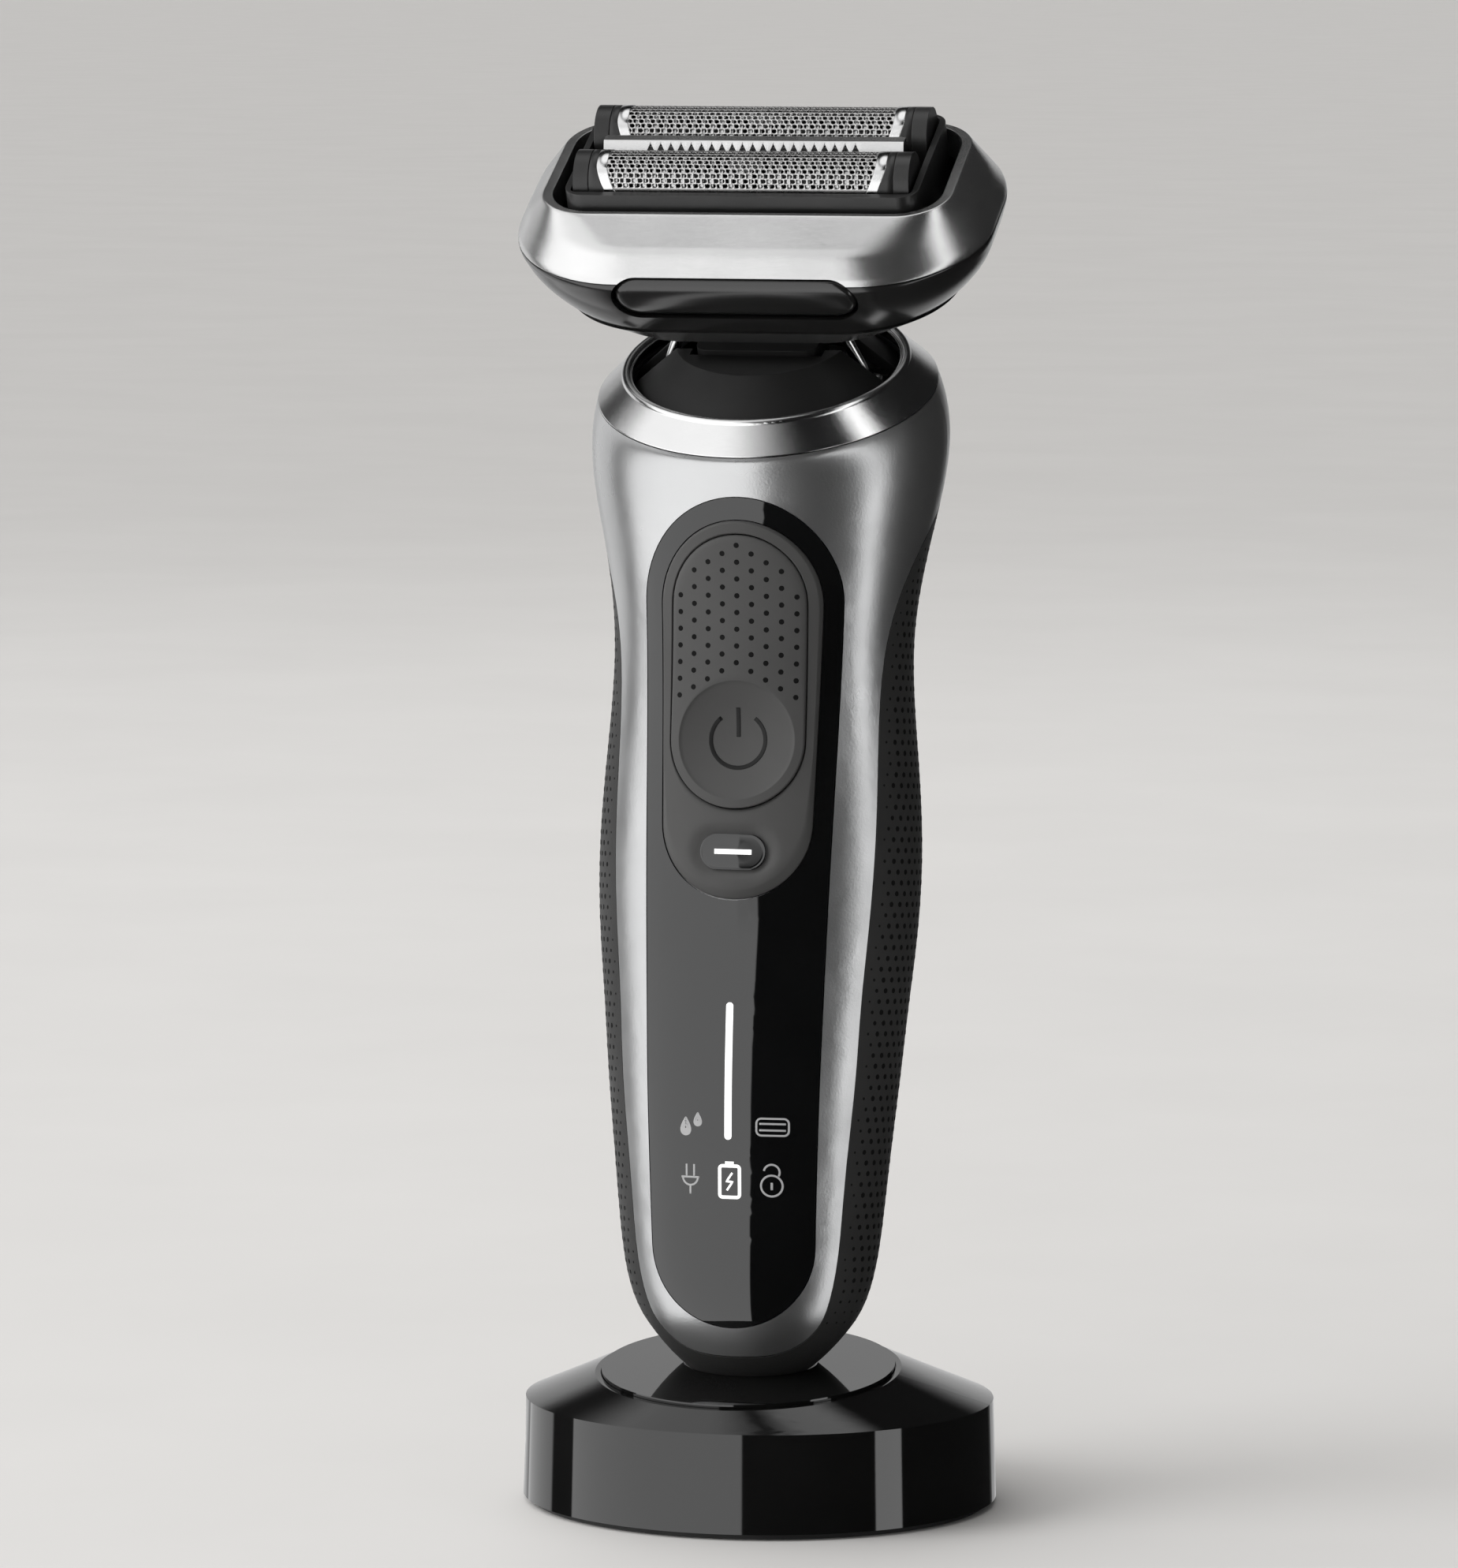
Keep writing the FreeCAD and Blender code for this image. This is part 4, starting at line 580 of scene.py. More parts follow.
def switch_pad_skin(face):
    """The pad round the button: a gap, a plain band, a rounded rim, and a hollow for the mode window."""
    hole_r = BUTTON_R + BUTTON_GAP
    near = [pill_reach(t, PAD_MIDDLE_Z, BUTTON_TOP_Z, hole_r, DISH_Z, hole_r) for t in TURNS]
    far = [pill_reach(t, PAD_MIDDLE_Z, PAD_TOP_Z, PAD_TOP_R, PAD_LOW_Z, PAD_LOW_R) for t in TURNS]
    rings = []
    for share, drop in list(PAD_INNER) + [(0.08 + 0.026 * k, 0.0) for k in range(28)] + list(PAD_OUTER):
        ring = []
        for t, low, high in zip(TURNS, near, far):
            r = low + (high - low) * share
            if share > 0.8:
                r = max(r, high - (1 - share) * 7.0)
            x, z = r * sin(t), PAD_MIDDLE_Z + r * cos(t)
            ring.append(face.at(x, z, drop + window_drop(x, z)))
        rings.append(ring)
    pad_skin = piece("switch_pad_skin", *skin(rings), "soft_grey", "handle", "soft_grey")
    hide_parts("switch_pad")


def mode_window_lens(face):
    """The dark lying pill of the mode window."""
    rings = []
    for share, drop in LENS_PROFILE:
        ring = []
        for k in range(LENS_AROUND):
            t = 2 * pi * k / LENS_AROUND
            sine = sin(t)
            side = copysign(WINDOW_HALF_X - WINDOW_HALF_Z, sine) if abs(sine) > 1e-6 else 0.0
            side *= min(1.0, abs(sine) * 8)
            x = side * share + share * WINDOW_HALF_Z * sine
            z = WINDOW_Z + share * WINDOW_HALF_Z * cos(t)
            ring.append(face.at(x, z, drop))
        rings.append(ring)
    cover = skin(rings, closed_middle=True)
    window_lens = piece("mode_window_lens", *cover, "panel", "handle", "gloss_black")
    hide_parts("mode_window")
    return tree_from(window_lens)


button = power_button_cap()
button_dimples(button)
power_mark(button)
pad_face = Face("switch_pad", lambda x, z: z < PAD_LOW_Z or abs(x) > PAD_HALF_X)
switch_pad_skin(pad_face)
window = mode_window_lens(pad_face)


# ---------------- mode light and status icons
def drop_icon(x, z, size):
    """A filled water drop as nested strokes."""
    strokes = []
    for scale in (0.86, 0.6, 0.34):
        path = []
        for k in range(24):
            angle = 2 * pi * k / 24
            pinch = sin(0.5 * angle) ** 1.4
            path.append((x + scale * size * sin(angle) * pinch,
                         z + scale * size * (1.25 * cos(angle))))
        strokes.append((path, size * 0.34, True))
    return strokes


# each stroke: its path in mm across and up the handle, its width, and whether it closes
MODE_LIGHT = [(line_path((-2.35, WINDOW_Z), (2.35, WINDOW_Z)), 0.62, False)]
BAR = 0.24
CASSETTE_ICON = [(round_box(5.5, 33.5, 1.95, 1.05, 0.6), BAR, True),
                 (line_path((3.9, 33.9), (7.1, 33.9)), BAR, False),
                 (line_path((3.9, 33.1), (7.1, 33.1)), BAR, False)]
PLUG_ICON = [(ring_path(-4.9, 27.0, 1.0, 90, 270, 16), BAR, False),
             (line_path((-6.1, 27.0), (-3.7, 27.0)), BAR, False),
             (line_path((-5.4, 27.1), (-5.4, 28.6)), BAR, False),
             (line_path((-4.4, 27.1), (-4.4, 28.6)), BAR, False),
             (line_path((-4.9, 26.0), (-4.9, 24.9)), BAR, False)]
LOCK_ICON = [(ring_path(5.4, 26.2, 1.3), BAR, True),
             (ring_path(5.4, 27.9, 0.95, -80, 120, 20), BAR, False),
             (line_path((5.4, 26.6), (5.4, 25.7)), BAR * 1.2, False)]
BATTERY_ICON = [(round_box(0.2, 26.6, 1.25, 1.95, 0.35), 0.42, True),
                (line_path((-0.35, 28.85), (0.75, 28.85)), 0.5, False),
                (line_path((0.55, 27.7), (-0.2, 26.6), (0.6, 26.6), (-0.15, 25.5)), 0.26, False)]
DROP_ICONS = drop_icon(-5.5, 33.3, 0.95) + drop_icon(-3.9, 34.2, 0.72)

panel = tree_of("display_panel")
ribbons("mode_light", MODE_LIGHT, window, "light", "handle", "light")
# the status and drop icons are grey print with a faint painted glow
ribbons("status_icons", CASSETTE_ICON + PLUG_ICON + LOCK_ICON, panel, "grey_print_painted_glow", "handle", "soft_grey")
ribbons("drop_icons", DROP_ICONS, panel, "grey_print_painted_glow", "handle", "soft_grey")
ribbons("battery_icon", BATTERY_ICON, panel, "ink_white", "handle", "light")

# ---------------- dimpled rubber grip
GRIP_PITCH, GRIP_ROW, GRIP_DIMPLE_R = 1.55, 1.34, 0.37
GRIP_LOW_Z, GRIP_TOP_Z = 9.0, 112.0
GRIP_MARGIN = 1.1  # mm, how far the last dimple of a row stays from the rubber's edge
RAYS, RAY_STEP = 180, 0.75  # rays to each side of straight back, and the degrees between them
OUTSIDE = 45.0  # mm, a start well outside the handle


def grip_row(grip, everything, z):
    """Where the rubber shows at one height, on rays from one side over the back to the other."""
    spots = []
    middle = handle.at(0, 0, z)
    for step in range(-RAYS, RAYS + 1):
        angle = radians(step * RAY_STEP)
        way = handle.back * cos(angle) + Vector((sin(angle), 0, 0))
        start = middle + way * (OUTSIDE * MM)
        spot, normal, _, _ = grip.ray_cast(start, -way)
        if spot is None:
            spots.append(None)
            continue
        first = everything.ray_cast(start, -way)[0]
        shown = first is not None and (first - spot).length < 0.02 * MM and way.dot(spot - middle) > 0.004
        spots.append((spot, normal if normal.dot(way) > 0 else -normal) if shown else None)
    return spots


def evenly_along(run, next_at):
    """Places one pitch apart along a run of spots, each with its distance, and the length of the run."""
    edge = max((i for i, spot in enumerate(run) if spot), default=0)
    walked, length, found = 0.0, 0.3, []
    for here, there in zip(run[:edge], run[1:edge + 1]):
        if here and there:
            length = min(0.6, (there[0] - here[0]).length / MM)
            while walked + length >= next_at:
                share = (next_at - walked) / length if length else 0
                normal = here[1].lerp(there[1], share).normalized()
                found.append((here[0].lerp(there[0], share), normal, walked))
                next_at += GRIP_PITCH
        else:
            next_at += GRIP_PITCH if walked + length >= next_at else 0.0
        walked += length
    return found, walked


def is_flat(grip, spot, normal):
    """Whether the rubber goes on to all four sides of a place."""
    across = normal.cross(handle.up).normalized()
    near = [spot + across * (dx * MM) + handle.up * (dz * MM) + normal * (3 * MM)
            for dx, dz in ((0.8, 0), (-0.8, 0), (0, 0.8), (0, -0.8))]
    return all((grip.ray_cast(p, -normal)[3] or 1) < 3.5 * MM for p in near)


def grip_dimples():
    """Staggered rows of dimples, smaller towards the edges of the rubber."""
    grip = tree_of("rear_grip")
    everything = tree_of("rear_grip", "front_shell", "collar_ring", "stand_plug", "stand_seat")
    places = []
    z, odd = GRIP_LOW_Z, False
    while z < GRIP_TOP_Z:
        spots = grip_row(grip, everything, z)
        for side in (-1, 1):
            start = 0.5 * GRIP_PITCH if odd else (0.0 if side == 1 else GRIP_PITCH)
            found, length = evenly_along(spots[RAYS:] if side == 1 else spots[RAYS::-1], start)
            for spot, normal, at in found:
                if length - at > GRIP_MARGIN and is_flat(grip, spot, normal):
                    ends = min(1.0, (z - 7.0) / 8.0, (114.0 - z) / 14.0, (length - at) / 3.0)
                    places.append((spot, normal, GRIP_DIMPLE_R * max(0.45, ends)))
        z += GRIP_ROW
        odd = not odd
    # the dimples take the near-black colour of painted shade
    discs("grip_dimples", places, "hole", "handle", "rubber", sides=8, rise=0.025)


grip_dimples()

# ---------------- smooth head: frame, bowl and release buttons
# levels down the outside of the head: height, half width, half depth, corner radius, rounding of the bend
LEVELS = ((2.4, 24.6, 11.7, 5.6, 0.0), (6.3, 24.6, 11.7, 5.6, 0.06), (6.3, 25.9, 12.4, 6.4, 0.12),
          (3.7, 28.5, 17.2, 14.6, 0.2), (0.12, 30.28, 19.45, 15.6, 0.25), (-4.3, 28.9, 17.6, 15.0, 0.5),
          (-8.6, 24.9, 15.2, 13.4, 0.5), (-11.5, 19.6, 12.4, 11.0, 0.0))
SEAM, BOWL = 4, 6
SEAM_GAP, HEAD_WALL = 0.06, 0.9
CORNER, LONG, SHORT = 16, 10, 6  # points on a corner, half a long side and a short side of an outline
BEND_RINGS = 8
CATCH_Z, CATCH_X, CATCH_H = -2.4, 15.2, 3.1
PLAY = 0.3


def outline(half_x, half_y, radius):
    """A rounded rectangle, from the front middle to the right and round."""
    points = []
    flat_x, flat_y = half_x - radius, half_y - radius

    def run(x0, y0, x1, y1, count):
        points.extend((x0 + (x1 - x0) * k / count, y0 + (y1 - y0) * k / count) for k in range(count))

    def bend(x, y, first):
        turns = [radians(first + 90 * k / CORNER) for k in range(CORNER)]
        points.extend((x + radius * cos(turn), y + radius * sin(turn)) for turn in turns)

    run(0, -half_y, flat_x, -half_y, LONG)
    bend(flat_x, -flat_y, -90)
    run(half_x, -flat_y, half_x, flat_y, SHORT)
    bend(flat_x, flat_y, 0)
    run(flat_x, half_y, -flat_x, half_y, 2 * LONG)
    bend(-flat_x, flat_y, 90)
    run(-half_x, flat_y, -half_x, -flat_y, SHORT)
    bend(-flat_x, -flat_y, 180)
    run(-flat_x, -half_y, 0, -half_y, LONG)
    return points


level_rings = [[Vector((x, y, z)) for x, y in outline(half_x, half_y, radius)]
               for z, half_x, half_y, radius, _ in LEVELS]


def bend_ring(j, share):
    """A ring on the rounded bend at level j; share runs from 0 above it to 1 below it."""
    rounding = LEVELS[j][4]
    ring = []
    for above, here, below in zip(level_rings[j - 1], level_rings[j], level_rings[j + 1]):
        first, last = here.lerp(above, rounding), here.lerp(below, rounding)
        ring.append((1 - share) ** 2 * first + 2 * share * (1 - share) * here + share ** 2 * last)
    return ring


def between(first, last, count):
    """Rings evenly spaced between two rings, without either."""
    return [[a.lerp(b, k / (count + 1)) for a, b in zip(first, last)] for k in range(1, count + 1)]


def shrunk(ring, inward, lift=0.0):
    """A ring moved inwards in its own plane, and raised by lift."""
    count, moved = len(ring), []
    for k in range(count):
        along = ring[(k + 1) % count] - ring[k - 1]
        inside = Vector((-along.y, along.x, 0)).normalized()
        moved.append(ring[k] + inside * inward + Vector((0, 0, lift)))
    return moved


def down_the_side(first, last, first_share=0.0, last_share=1.0):
    """Rings from the bend at one level to the bend at a lower one."""
    rings = []
    for j in range(first, last + 1):
        low = first_share if j == first else 0.0
        high = last_share if j == last else 1.0
        bend = [bend_ring(j, low + (high - low) * k / BEND_RINGS) for k in range(BEND_RINGS + 1)]
        if rings:
            rings += between(rings[-1], bend[0], 4)
        rings += bend
    return rings


def bake(made, kind, **settings):
    """Adds a modifier to a piece and turns its result into the mesh."""
    modifier = made.modifiers.new(kind.lower(), kind)
    for key, value in settings.items():
        setattr(modifier, key, value)
    with bpy.context.temp_override(object=made, active_object=made):
        bpy.ops.object.modifier_apply(modifier=modifier.name)


def catch_tool(side):
    """A tall pill through one wall of the head, to cut the way of a release button."""
    half_z = CATCH_H + PLAY
    path = round_box(0, CATCH_Z, CATCH_X + PLAY, half_z, half_z - 0.05, 12)
    points, faces = [], []
    for y in (side * 9.0, side * 24.0):
        points += [head.at(x, y, z) for x, z in path]
    count = len(path)
    for k in range(count):
        faces.append((k, (k + 1) % count, count + (k + 1) % count, count + k))
    faces += [tuple(range(count)), tuple(range(2 * count - 1, count - 1, -1))]
    mesh = bpy.data.meshes.new("catch_tool")
    mesh.from_pydata([tuple(p) for p in points], [], faces)
    outward(mesh)
    return add_object("catch_tool", mesh)


def head_skin(name, rings, node, finish, slot):
    """A wall of the head from its outer rings, with the two button ways cut out; gives the uncut outside."""
    made = piece(name, *skin([[head.at(*p) for p in ring] for ring in rings]), finish, "head", slot)
    outer_tree = tree_from(made)
    bake(made, "SOLIDIFY", thickness=HEAD_WALL * MM, offset=-1.0)
    for side in (-1, 1):
        tool = catch_tool(side)
        bake(made, "BOOLEAN", operation="DIFFERENCE", solver="EXACT", object=tool)
        bpy.data.meshes.remove(tool.data)
    for polygon in made.data.polygons:
        polygon.use_smooth = True
    made.data.set_sharp_from_angle(angle=radians(38))
    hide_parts(node)
    return outer_tree


def head_frame_skin():
    """The silver frame: a lip round the top, and the side down to the seam."""
    lip = [level_rings[0]] + between(level_rings[0], bend_ring(1, 0.0), 2)
    rings = lip + down_the_side(1, SEAM, last_share=0.5)
    groove = [shrunk(rings[-1], 0.03, SEAM_GAP), shrunk(rings[-1], 0.45, SEAM_GAP)]
    head_skin("head_frame_skin", rings[:-1] + groove, "head_frame", "head_silver", "chrome")


def head_bowl_skin():
    """The black bowl from the seam down, with a small inward foot."""
    rings = down_the_side(SEAM, BOWL, first_share=0.5, last_share=0.5)
    groove = [shrunk(rings[0], 0.45, -SEAM_GAP), shrunk(rings[0], 0.03, -SEAM_GAP)]
    rings = groove + rings[1:] + [shrunk(rings[-1], 1.0)]
    return head_skin("head_bowl_skin", rings, "head_lower_shell", "bowl", "gloss_black")


# points along one long side of a release button and round one of its ends
PILL_LONG, PILL_TURN = 24, 16
# how far in from the edge, and how deep below the skin of the head
CAP_PROFILE = ((2.9, 0.30), (2.0, 0.30), (1.3, 0.31), (0.8, 0.34), (0.5, 0.40), (0.3, 0.50), (0.12, 0.66),
               (0.03, 0.86), (0.0, 1.1), (0.0, 3.2))
SHELVE_X, SHELVE_Z = 13.5, -3.0  # where the curve along the button is measured


def stadium(half_x, half_z, z):
    """The outline of a lying pill, always with the same number of points."""
    flat = half_x - half_z
    turns = [pi * k / PILL_TURN for k in range(PILL_TURN)]
    path = [(-flat + 2 * flat * k / PILL_LONG, z + half_z) for k in range(PILL_LONG)]
    path += [(flat + half_z * sin(turn), z + half_z * cos(turn)) for turn in turns]
    path += [(flat - 2 * flat * k / PILL_LONG, z - half_z) for k in range(PILL_LONG)]
    path += [(-flat - half_z * sin(turn), z - half_z * cos(turn)) for turn in turns]
    return path


def pill_middle():
    """Faces that close the inside of a stadium: strips across it, and one face in each round end."""
    count = 2 * (PILL_LONG + PILL_TURN)
    far = 2 * PILL_LONG + PILL_TURN
    faces = [(k, k + 1, (far - k - 1) % count, (far - k) % count) for k in range(PILL_LONG)]
    for first in (PILL_LONG, far):
        faces.append(tuple((first + k) % count for k in range(PILL_TURN + 1)))
    return faces


def head_depth(tree, x, z, side):
    """Depth of the head's outside in its own frame, from the front (-1) or the rear (1)."""
    start = head.at(x, side * CLEAR, z)
    spot = tree.ray_cast(start, head.back * -side)[0]
    return (spot - head.origin).dot(head.back) / MM


def release_cap(tree, label, side):
    """A release button that follows the outside of the bowl, a little below it."""
    heights = [-0.2 - 0.45 * k for k in range(12)]
    curve = np.polyfit(heights, [head_depth(tree, 0, z, side) for z in heights], 4)
    outer, middle = (head_depth(tree, x, SHELVE_Z, side) for x in (SHELVE_X, 0))
    shelve = (outer - middle) / SHELVE_X ** 4
    rings = []
    for inward, drop in CAP_PROFILE:
        ring = []
        for x, z in stadium(CATCH_X - inward, CATCH_H - inward, CATCH_Z):
            depth = float(np.polyval(curve, min(z, 0.4))) + shelve * x ** 4
            ring.append(head.at(x, depth - side * drop, z))
        rings.append(ring)
    points, faces = skin(rings)
    faces += pill_middle()
    cap = piece("release_cap_" + label, points, faces, "bowl", "release_" + label, "black_plastic")
    cap.data.set_sharp_from_angle(angle=radians(50))
    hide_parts("release_button_" + label)


head_frame_skin()
bowl_tree = head_bowl_skin()
release_cap(bowl_tree, "front", -1)
release_cap(bowl_tree, "rear", 1)

# ---------------- shaving foils
# u runs along the head and v round a foil's arch, both in mm from its top middle
FOIL_Y, FOIL_Z, FOIL_R, FOIL_HALF, FOIL_LEG = 5.95, 7.6, 3.8, 19.2, 1.6
FOIL_BEND = 0.5 * pi * FOIL_R
MESH_HALF, MESH_SHARE = 17.28, 0.88
HOLE_U, HOLE_V, HOLE_SHARE, SKIN, SUNK = 0.74, 0.64, 0.43, 0.06, 0.10
COLUMNS = int(2 * MESH_HALF / HOLE_U)
ROWS = int(2 * MESH_SHARE * FOIL_BEND / HOLE_V)
EDGE_U, LOW_V = 0.5 * COLUMNS * HOLE_U, -0.5 * ROWS * HOLE_V
STRIP_TURNS, STRIP_POINTS = 48, 7  # steps over the arch, and points in a strip's section
STRIP_REACH = FOIL_BEND + 0.8 * FOIL_LEG
STRIP_WIDE, STRIP_DEEP, STRIP_EDGE = 1.35, 0.30, 0.06
SHIELD_FROM, SHIELD_SUNK, END_GAP = 1.33, 0.03, 0.02


def foil_point(y, u, v, sunk=SUNK):
    """A point on a foil, sunk below the CAD's surface."""
    radius = FOIL_R - sunk
    if abs(v) <= FOIL_BEND:
        angle = v / FOIL_R
        return head.at(u, y + radius * sin(angle), FOIL_Z + radius * cos(angle))
    return head.at(u, y + copysign(radius, v), FOIL_Z - (abs(v) - FOIL_BEND))


def plain_patch(u0, v0, u1, v1):
    """The corners of a patch without a hole."""
    return (u0, v0), (u1, v0), (u1, v1), (u0, v1)


def pierced_cell(u0, v0):
    """Eight patches round one hole."""
    corners = ((0, 0), (0.5, 0), (1, 0), (1, 0.5), (1, 1), (0.5, 1), (0, 1), (0, 0.5))
    rim = [(u0 + a * HOLE_U, v0 + b * HOLE_V) for a, b in corners]
    middle_u, middle_v = u0 + 0.5 * HOLE_U, v0 + 0.5 * HOLE_V
    turns = [radians(225 + 45 * k) for k in range(8)]
    hole = [(middle_u + HOLE_SHARE * HOLE_U * cos(t), middle_v + HOLE_SHARE * HOLE_V * sin(t))
            for t in turns]
    return [(rim[k], rim[(k + 1) % 8], hole[(k + 1) % 8], hole[k]) for k in range(8)]


def mesh_row(row):
    """One row of holes with plain ends; every other row is shifted by half a hole."""
    odd = row % 2
    first_u = -EDGE_U + (0.5 * HOLE_U if odd else 0.0)
    v0 = LOW_V + row * HOLE_V
    plain = [(-FOIL_HALF, -EDGE_U), (EDGE_U, FOIL_HALF)]
    if odd:
        plain += [(-EDGE_U, -EDGE_U + 0.5 * HOLE_U), (EDGE_U - 0.5 * HOLE_U, EDGE_U)]
    patches = [plain_patch(u0, v0 + half * HOLE_V, u1, v0 + (half + 0.5) * HOLE_V)
               for u0, u1 in plain for half in (0, 0.5)]
    for cell in range(COLUMNS - odd):
        patches += pierced_cell(first_u + cell * HOLE_U, v0)
    return patches


def legs():
    """The plain sheet below the holes, on both sides of the arch."""
    stops = sorted({-FOIL_HALF, FOIL_HALF} | {-EDGE_U + 0.5 * HOLE_U * k for k in range(2 * COLUMNS + 1)})
    patches = []
    for sign in (-1, 1):
        start, foot = sign * abs(LOW_V), sign * (FOIL_BEND + FOIL_LEG)
        levels = [start + (foot - start) * k / 4 for k in range(5)]
        for v0, v1 in zip(levels, levels[1:]):
            patches += [plain_patch(u0, v0, u1, v1) for u0, u1 in zip(stops, stops[1:])]
    return patches


def foil_mesh(side, y):
    """A thin arched sheet pierced by staggered round holes, with plain ends and plain legs."""
    points, faces = [], []
    for patch in [patch for row in range(ROWS) for patch in mesh_row(row)] + legs():
        faces.append(tuple(range(len(points), len(points) + 4)))
        points += [foil_point(y, u, v) for u, v in patch]
    made = piece(side + "_foil_mesh", points, faces, "foil", "foil_" + side, "foil")
    bake(made, "SOLIDIFY", thickness=SKIN * MM, offset=-1.0)
    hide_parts(side + "_foil")


def clamp_inside(v):
    """How far in from the foil's end a clamp starts: its feet lean inwards."""
    share = min(1.0, max(0.0, (abs(v) - 2.2) / (STRIP_REACH - 2.2)))
    return 2.3 + 1.8 * share ** 1.3


def foil_strip(side, y, label, finish, slot, first, last, sunk):
    """A strip over the arch at each end of a foil.

    first and last say how far outwards of the clamp's inner edge it runs; without last it runs to the end.
    """
    points, faces = [], []
    for end in (-1, 1):
        base = len(points)
        for k in range(STRIP_TURNS + 1):
            v = -STRIP_REACH + 2 * STRIP_REACH * k / STRIP_TURNS
            edge = clamp_inside(v)
            near = FOIL_HALF - (edge - first)
            far = FOIL_HALF - (END_GAP if last is None else edge - last)
            section = ((near, STRIP_DEEP), (near, sunk + 0.05), (near + STRIP_EDGE, sunk),
                       (0.5 * (near + far), sunk), (far - STRIP_EDGE, sunk), (far, sunk + 0.05),
                       (far, STRIP_DEEP))
            points += [foil_point(y, end * u, v, deep) for u, deep in section]
        for k in range(STRIP_TURNS):
            a, b = base + STRIP_POINTS * k, base + STRIP_POINTS * (k + 1)
            for i in range(STRIP_POINTS):
                j = (i + 1) % STRIP_POINTS
                faces.append((a + i, a + j, b + j, b + i))
        for k in (0, STRIP_TURNS):
            faces.append(tuple(base + STRIP_POINTS * k + i for i in range(STRIP_POINTS)))
    strip = piece(side + "_foil_" + label, points, faces, finish, "foil_" + side, slot)
    strip.data.set_sharp_from_angle(angle=radians(40))


for side, y in (("front", -FOIL_Y), ("rear", FOIL_Y)):
    foil_mesh(side, y)
    foil_strip(side, y, "clamps", "chrome", "foil", 0.0, STRIP_WIDE, 0.0)
    foil_strip(side, y, "shields", "black_plastic", "black_plastic", SHIELD_FROM, None, SHIELD_SUNK)

# ---------------- trimmer guard: a channel with pointed teeth
COMB_TOP, COMB_Y, COMB_FLAT, COMB_HALF, COMB_PITCH, COMB_TEETH = 10.4, 1.53, 0.7, 19.0, 1.3, 21
TOOTH_DEEP, NOTCH_DEEP, COMB_THICK = 1.4, 0.3, 0.22


def trimmer_comb():
    """A bent sheet whose edges run down into teeth and up into notches."""
    half_teeth = 0.5 * COMB_PITCH * COMB_TEETH
    stops = [-COMB_HALF, -half_teeth]
    stops += [0.5 * COMB_PITCH * (k - COMB_TEETH) for k in range(1, 2 * COMB_TEETH)]
    stops += [half_teeth, COMB_HALF]
    points, faces = [], []
    for i, u in enumerate(stops):
        tip = i in (0, len(stops) - 1) or i % 2 == 1
        low = TOOTH_DEEP if tip else NOTCH_DEEP
        reach = COMB_FLAT + (COMB_Y - COMB_FLAT) * low / TOOTH_DEEP
        profile = ((-reach, low), (-COMB_FLAT - 0.06, 0.06), (-COMB_FLAT + 0.1, 0.0), (0.0, 0.0),
                   (COMB_FLAT - 0.1, 0.0), (COMB_FLAT + 0.06, 0.06), (reach, low))
        points += [head.at(u, y, COMB_TOP - drop) for y, drop in profile]
    wide = len(profile)
    for i in range(len(stops) - 1):
        here, there = wide * i, wide * (i + 1)
        for k in range(wide - 1):
            faces.append((here + k, here + k + 1, there + k + 1, there + k))
    comb = piece("trimmer_comb", points, faces, "head_silver", "trimmer", "foil", smooth=False)
    bake(comb, "SOLIDIFY", thickness=COMB_THICK * MM, offset=-1.0)
    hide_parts("trimmer_guard")


trimmer_comb()

# ---------------- camera
LENS, SENSOR = 184.7, 36.0
CAMERA_PLACE, CAMERA_AIM = (0.22495, -0.97437, 0.200), (-0.003736, -0.000863, 0.090663)
camera_data = bpy.data.cameras.new("camera")
camera_data.sensor_fit = "VERTICAL"
camera_data.sensor_height = SENSOR
camera_data.lens = LENS
camera = add_object("camera", camera_data)
camera.location = CAMERA_PLACE
aim = Vector(CAMERA_AIM) - Vector(camera.location)
camera.rotation_euler = aim.to_track_quat("-Z", "Y").to_euler()
bpy.context.scene.camera = camera

# ---------------- floor
SPAN = 60.0
FLOOR_CORNERS = [(-SPAN, -SPAN, 0), (SPAN, -SPAN, 0), (SPAN, SPAN, 0), (-SPAN, SPAN, 0)]
floor_mesh = bpy.data.meshes.new("floor")
floor_mesh.from_pydata(FLOOR_CORNERS, [], [(0, 1, 2, 3)])
floor_look = look("floor_paper", grey(0.560, 0.012), grey(0.575, 0.012), (0.75, 0.9), cloud=12.0,
                  grain=900.0, bump=0.02, specular=0.1)
floor_mesh.materials.append(floor_look)
floor = add_object("floor", floor_mesh)
floor.visible_glossy = False

# ---------------- light
# cards of light that glossy surfaces reflect: azimuth from and to, elevation from and to, softness across
# and up, all in degrees, and brightness
CARDS = (
    (-88, 1, -95, 7, 0.6, 3, 1.6),
    (-88, -10, 7, 27, 0.6, 3, 1.7),
    (-105, 0, 27, 60, 26, 3, 1.25),
    (-185, -140, -60, 26, 8, 8, 0.58),
    (-140, -106, -60, 16, 1.5, 10, 0.85),
    (64, 79, -60, 60, 0.6, 6, 2.0),
    (168, 185, -60, 22, 6, 8, 0.5),
    (-181, 181, 66, 91, 1, 6, 1.4),
)
DIM = 0.015  # brightness between the cards
# the room that lights everything else is brighter on the left than on the right
ROOM_MIDDLE, ROOM_SLOPE, ROOM_LEAST = 0.9, -1.6, 0.06
ROOM_COLOUR = (0.99, 0.98, 0.965, 1.0)
# name, place in m, size in m and power in W
LAMPS = (
    ("key", (-0.95, -0.55, 0.85), 0.8, 8.0),
    ("fill", (0.9, -0.5, 0.6), 0.8, 0.8),
    ("back", (-0.3, 0.9, 0.9), 0.9, 2.0),
)
LAMP_AIM = (0, 0, 0.08)


def soft_span(sky, value, first, last, soft):
    """1 between two values and 0 outside them, with soft ends."""
    return sky.math("MULTIPLY", sky.remap(value, first - soft, first + soft, smooth=True),
                    sky.remap(value, last + soft, last - soft, smooth=True))


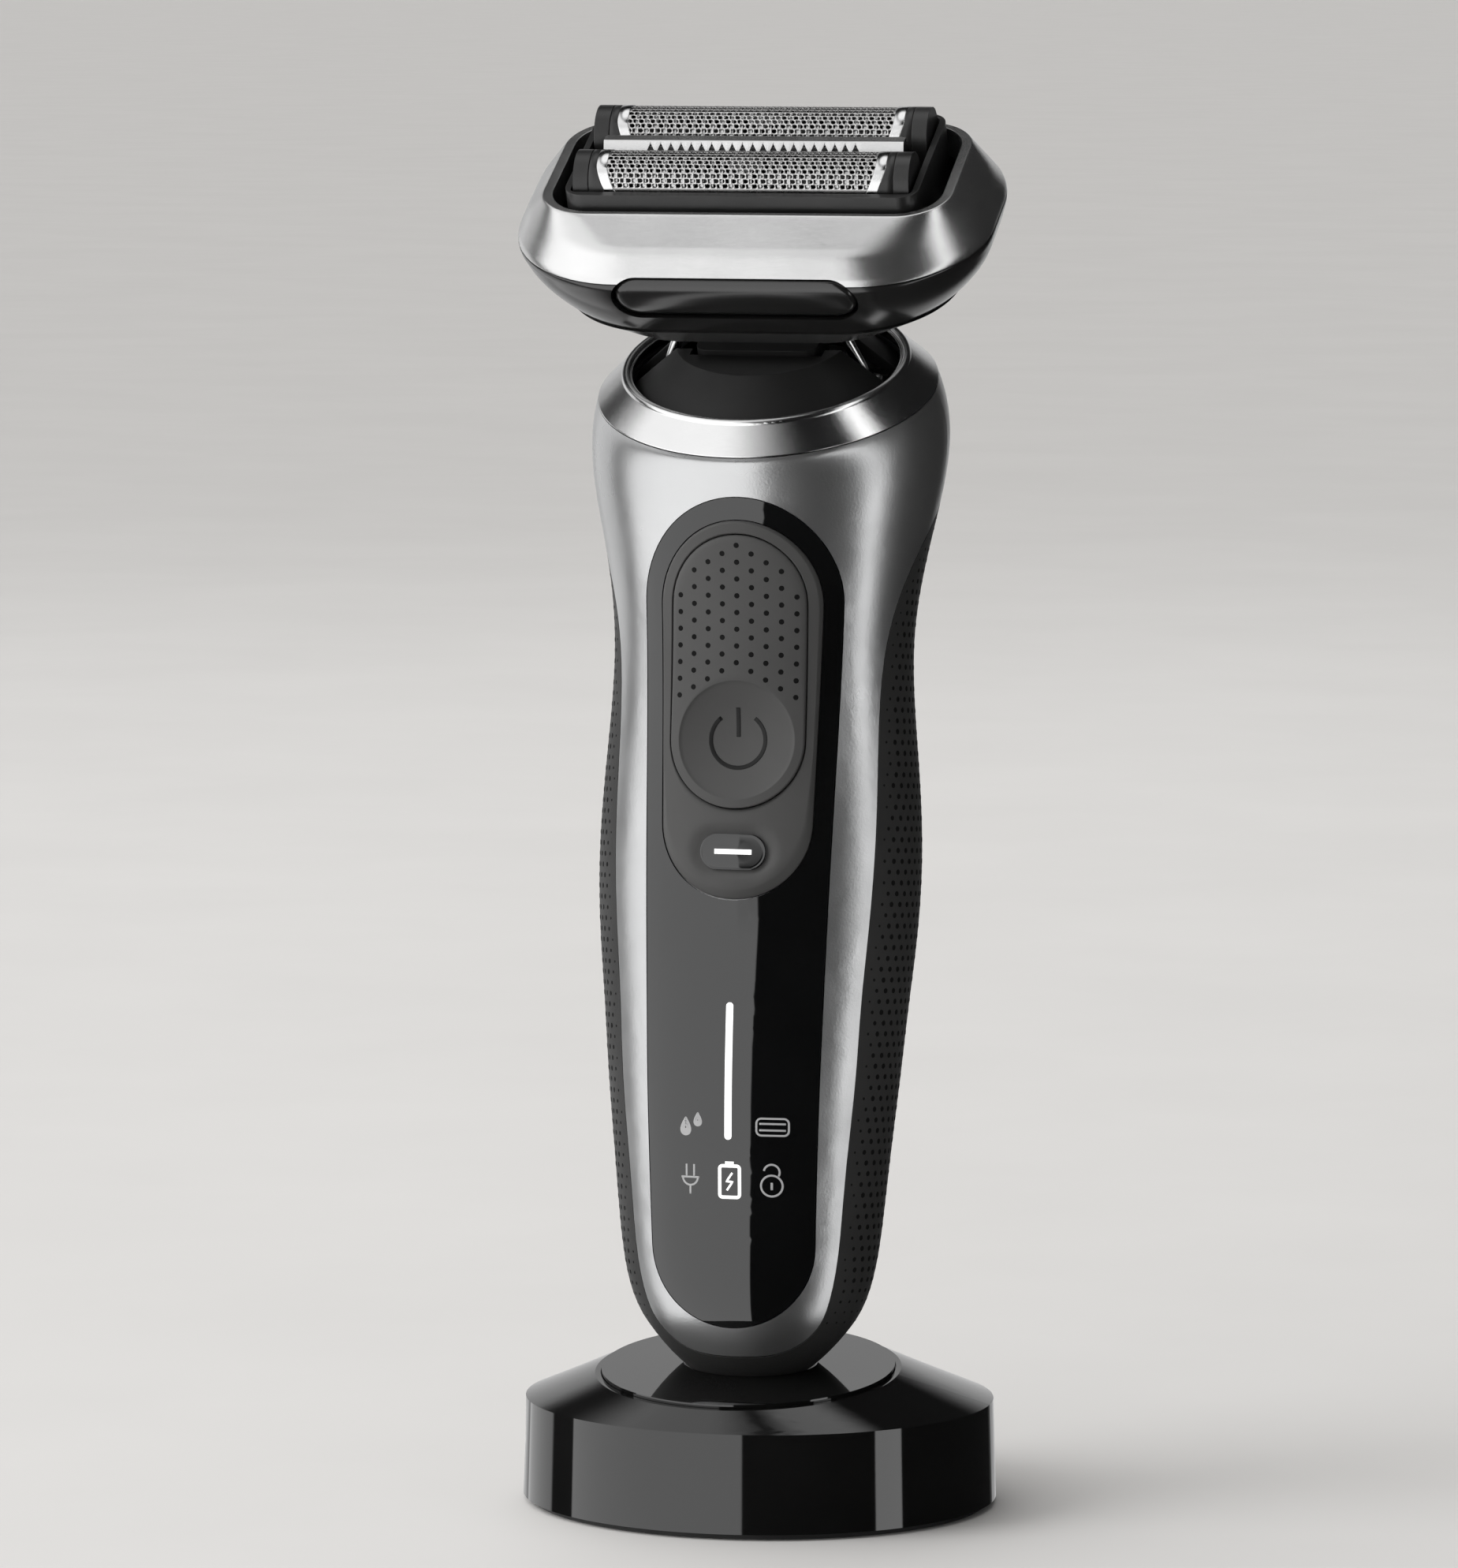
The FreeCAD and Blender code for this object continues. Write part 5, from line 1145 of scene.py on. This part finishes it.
def card_light(sky, split):
    """The summed brightness of all cards in a direction."""
    around = sky.math("ARCTAN2", split.outputs["X"], sky.math("MULTIPLY", split.outputs["Y"], -1.0))
    azimuth = sky.math("MULTIPLY", around, 180 / pi)
    level = sky.math("MULTIPLY", sky.math("ARCSINE", split.outputs["Z"]), 180 / pi)
    total = DIM
    for az0, az1, el0, el1, soft_az, soft_el, bright in CARDS:
        card = sky.math("MULTIPLY", soft_span(sky, azimuth, az0, az1, soft_az),
                        soft_span(sky, level, el0, el1, soft_el))
        total = sky.math("ADD", sky.math("MULTIPLY", card, bright), total)
    return total


def studio():
    """The world: cards of light for reflections, and a soft room for the rest."""
    world = bpy.data.worlds.new("studio")
    bpy.context.scene.world = world
    sky = Tree(world)
    world.cycles.sampling_method = "NONE"
    split = sky.put("ShaderNodeSeparateXYZ")
    sky.join(sky.put("ShaderNodeTexCoord").outputs["Generated"], split.inputs[0])
    reflected = sky.put("ShaderNodeBackground")
    reflected.inputs["Color"].default_value = (1.0, 1.0, 1.0, 1.0)
    sky.join(card_light(sky, split), reflected.inputs["Strength"])
    room = sky.put("ShaderNodeBackground")
    room.inputs["Color"].default_value = ROOM_COLOUR
    slope = sky.math("MULTIPLY_ADD", split.outputs["X"], ROOM_SLOPE, ROOM_MIDDLE)
    sky.join(sky.math("MAXIMUM", slope, ROOM_LEAST), room.inputs["Strength"])
    either = sky.put("ShaderNodeMixShader")
    sky.join(sky.put("ShaderNodeLightPath").outputs["Is Glossy Ray"], either.inputs[0])
    sky.join(room.outputs[0], either.inputs[1])
    sky.join(reflected.outputs[0], either.inputs[2])
    sky.join(either.outputs[0], sky.put("ShaderNodeOutputWorld").inputs[0])


def add_lamp(name, place, size, power):
    """A round soft lamp that no surface mirrors."""
    data = bpy.data.lights.new(name, "AREA")
    data.shape = "DISK"
    data.size = size
    data.energy = power
    lamp = add_object(name, data)
    lamp.location = place
    lamp.rotation_euler = (Vector(LAMP_AIM) - Vector(place)).to_track_quat("-Z", "Y").to_euler()
    lamp.visible_glossy = False
    lamp.visible_camera = False


studio()
for settings in LAMPS:
    add_lamp(*settings)

bpy.context.scene.view_settings.view_transform = "Standard"
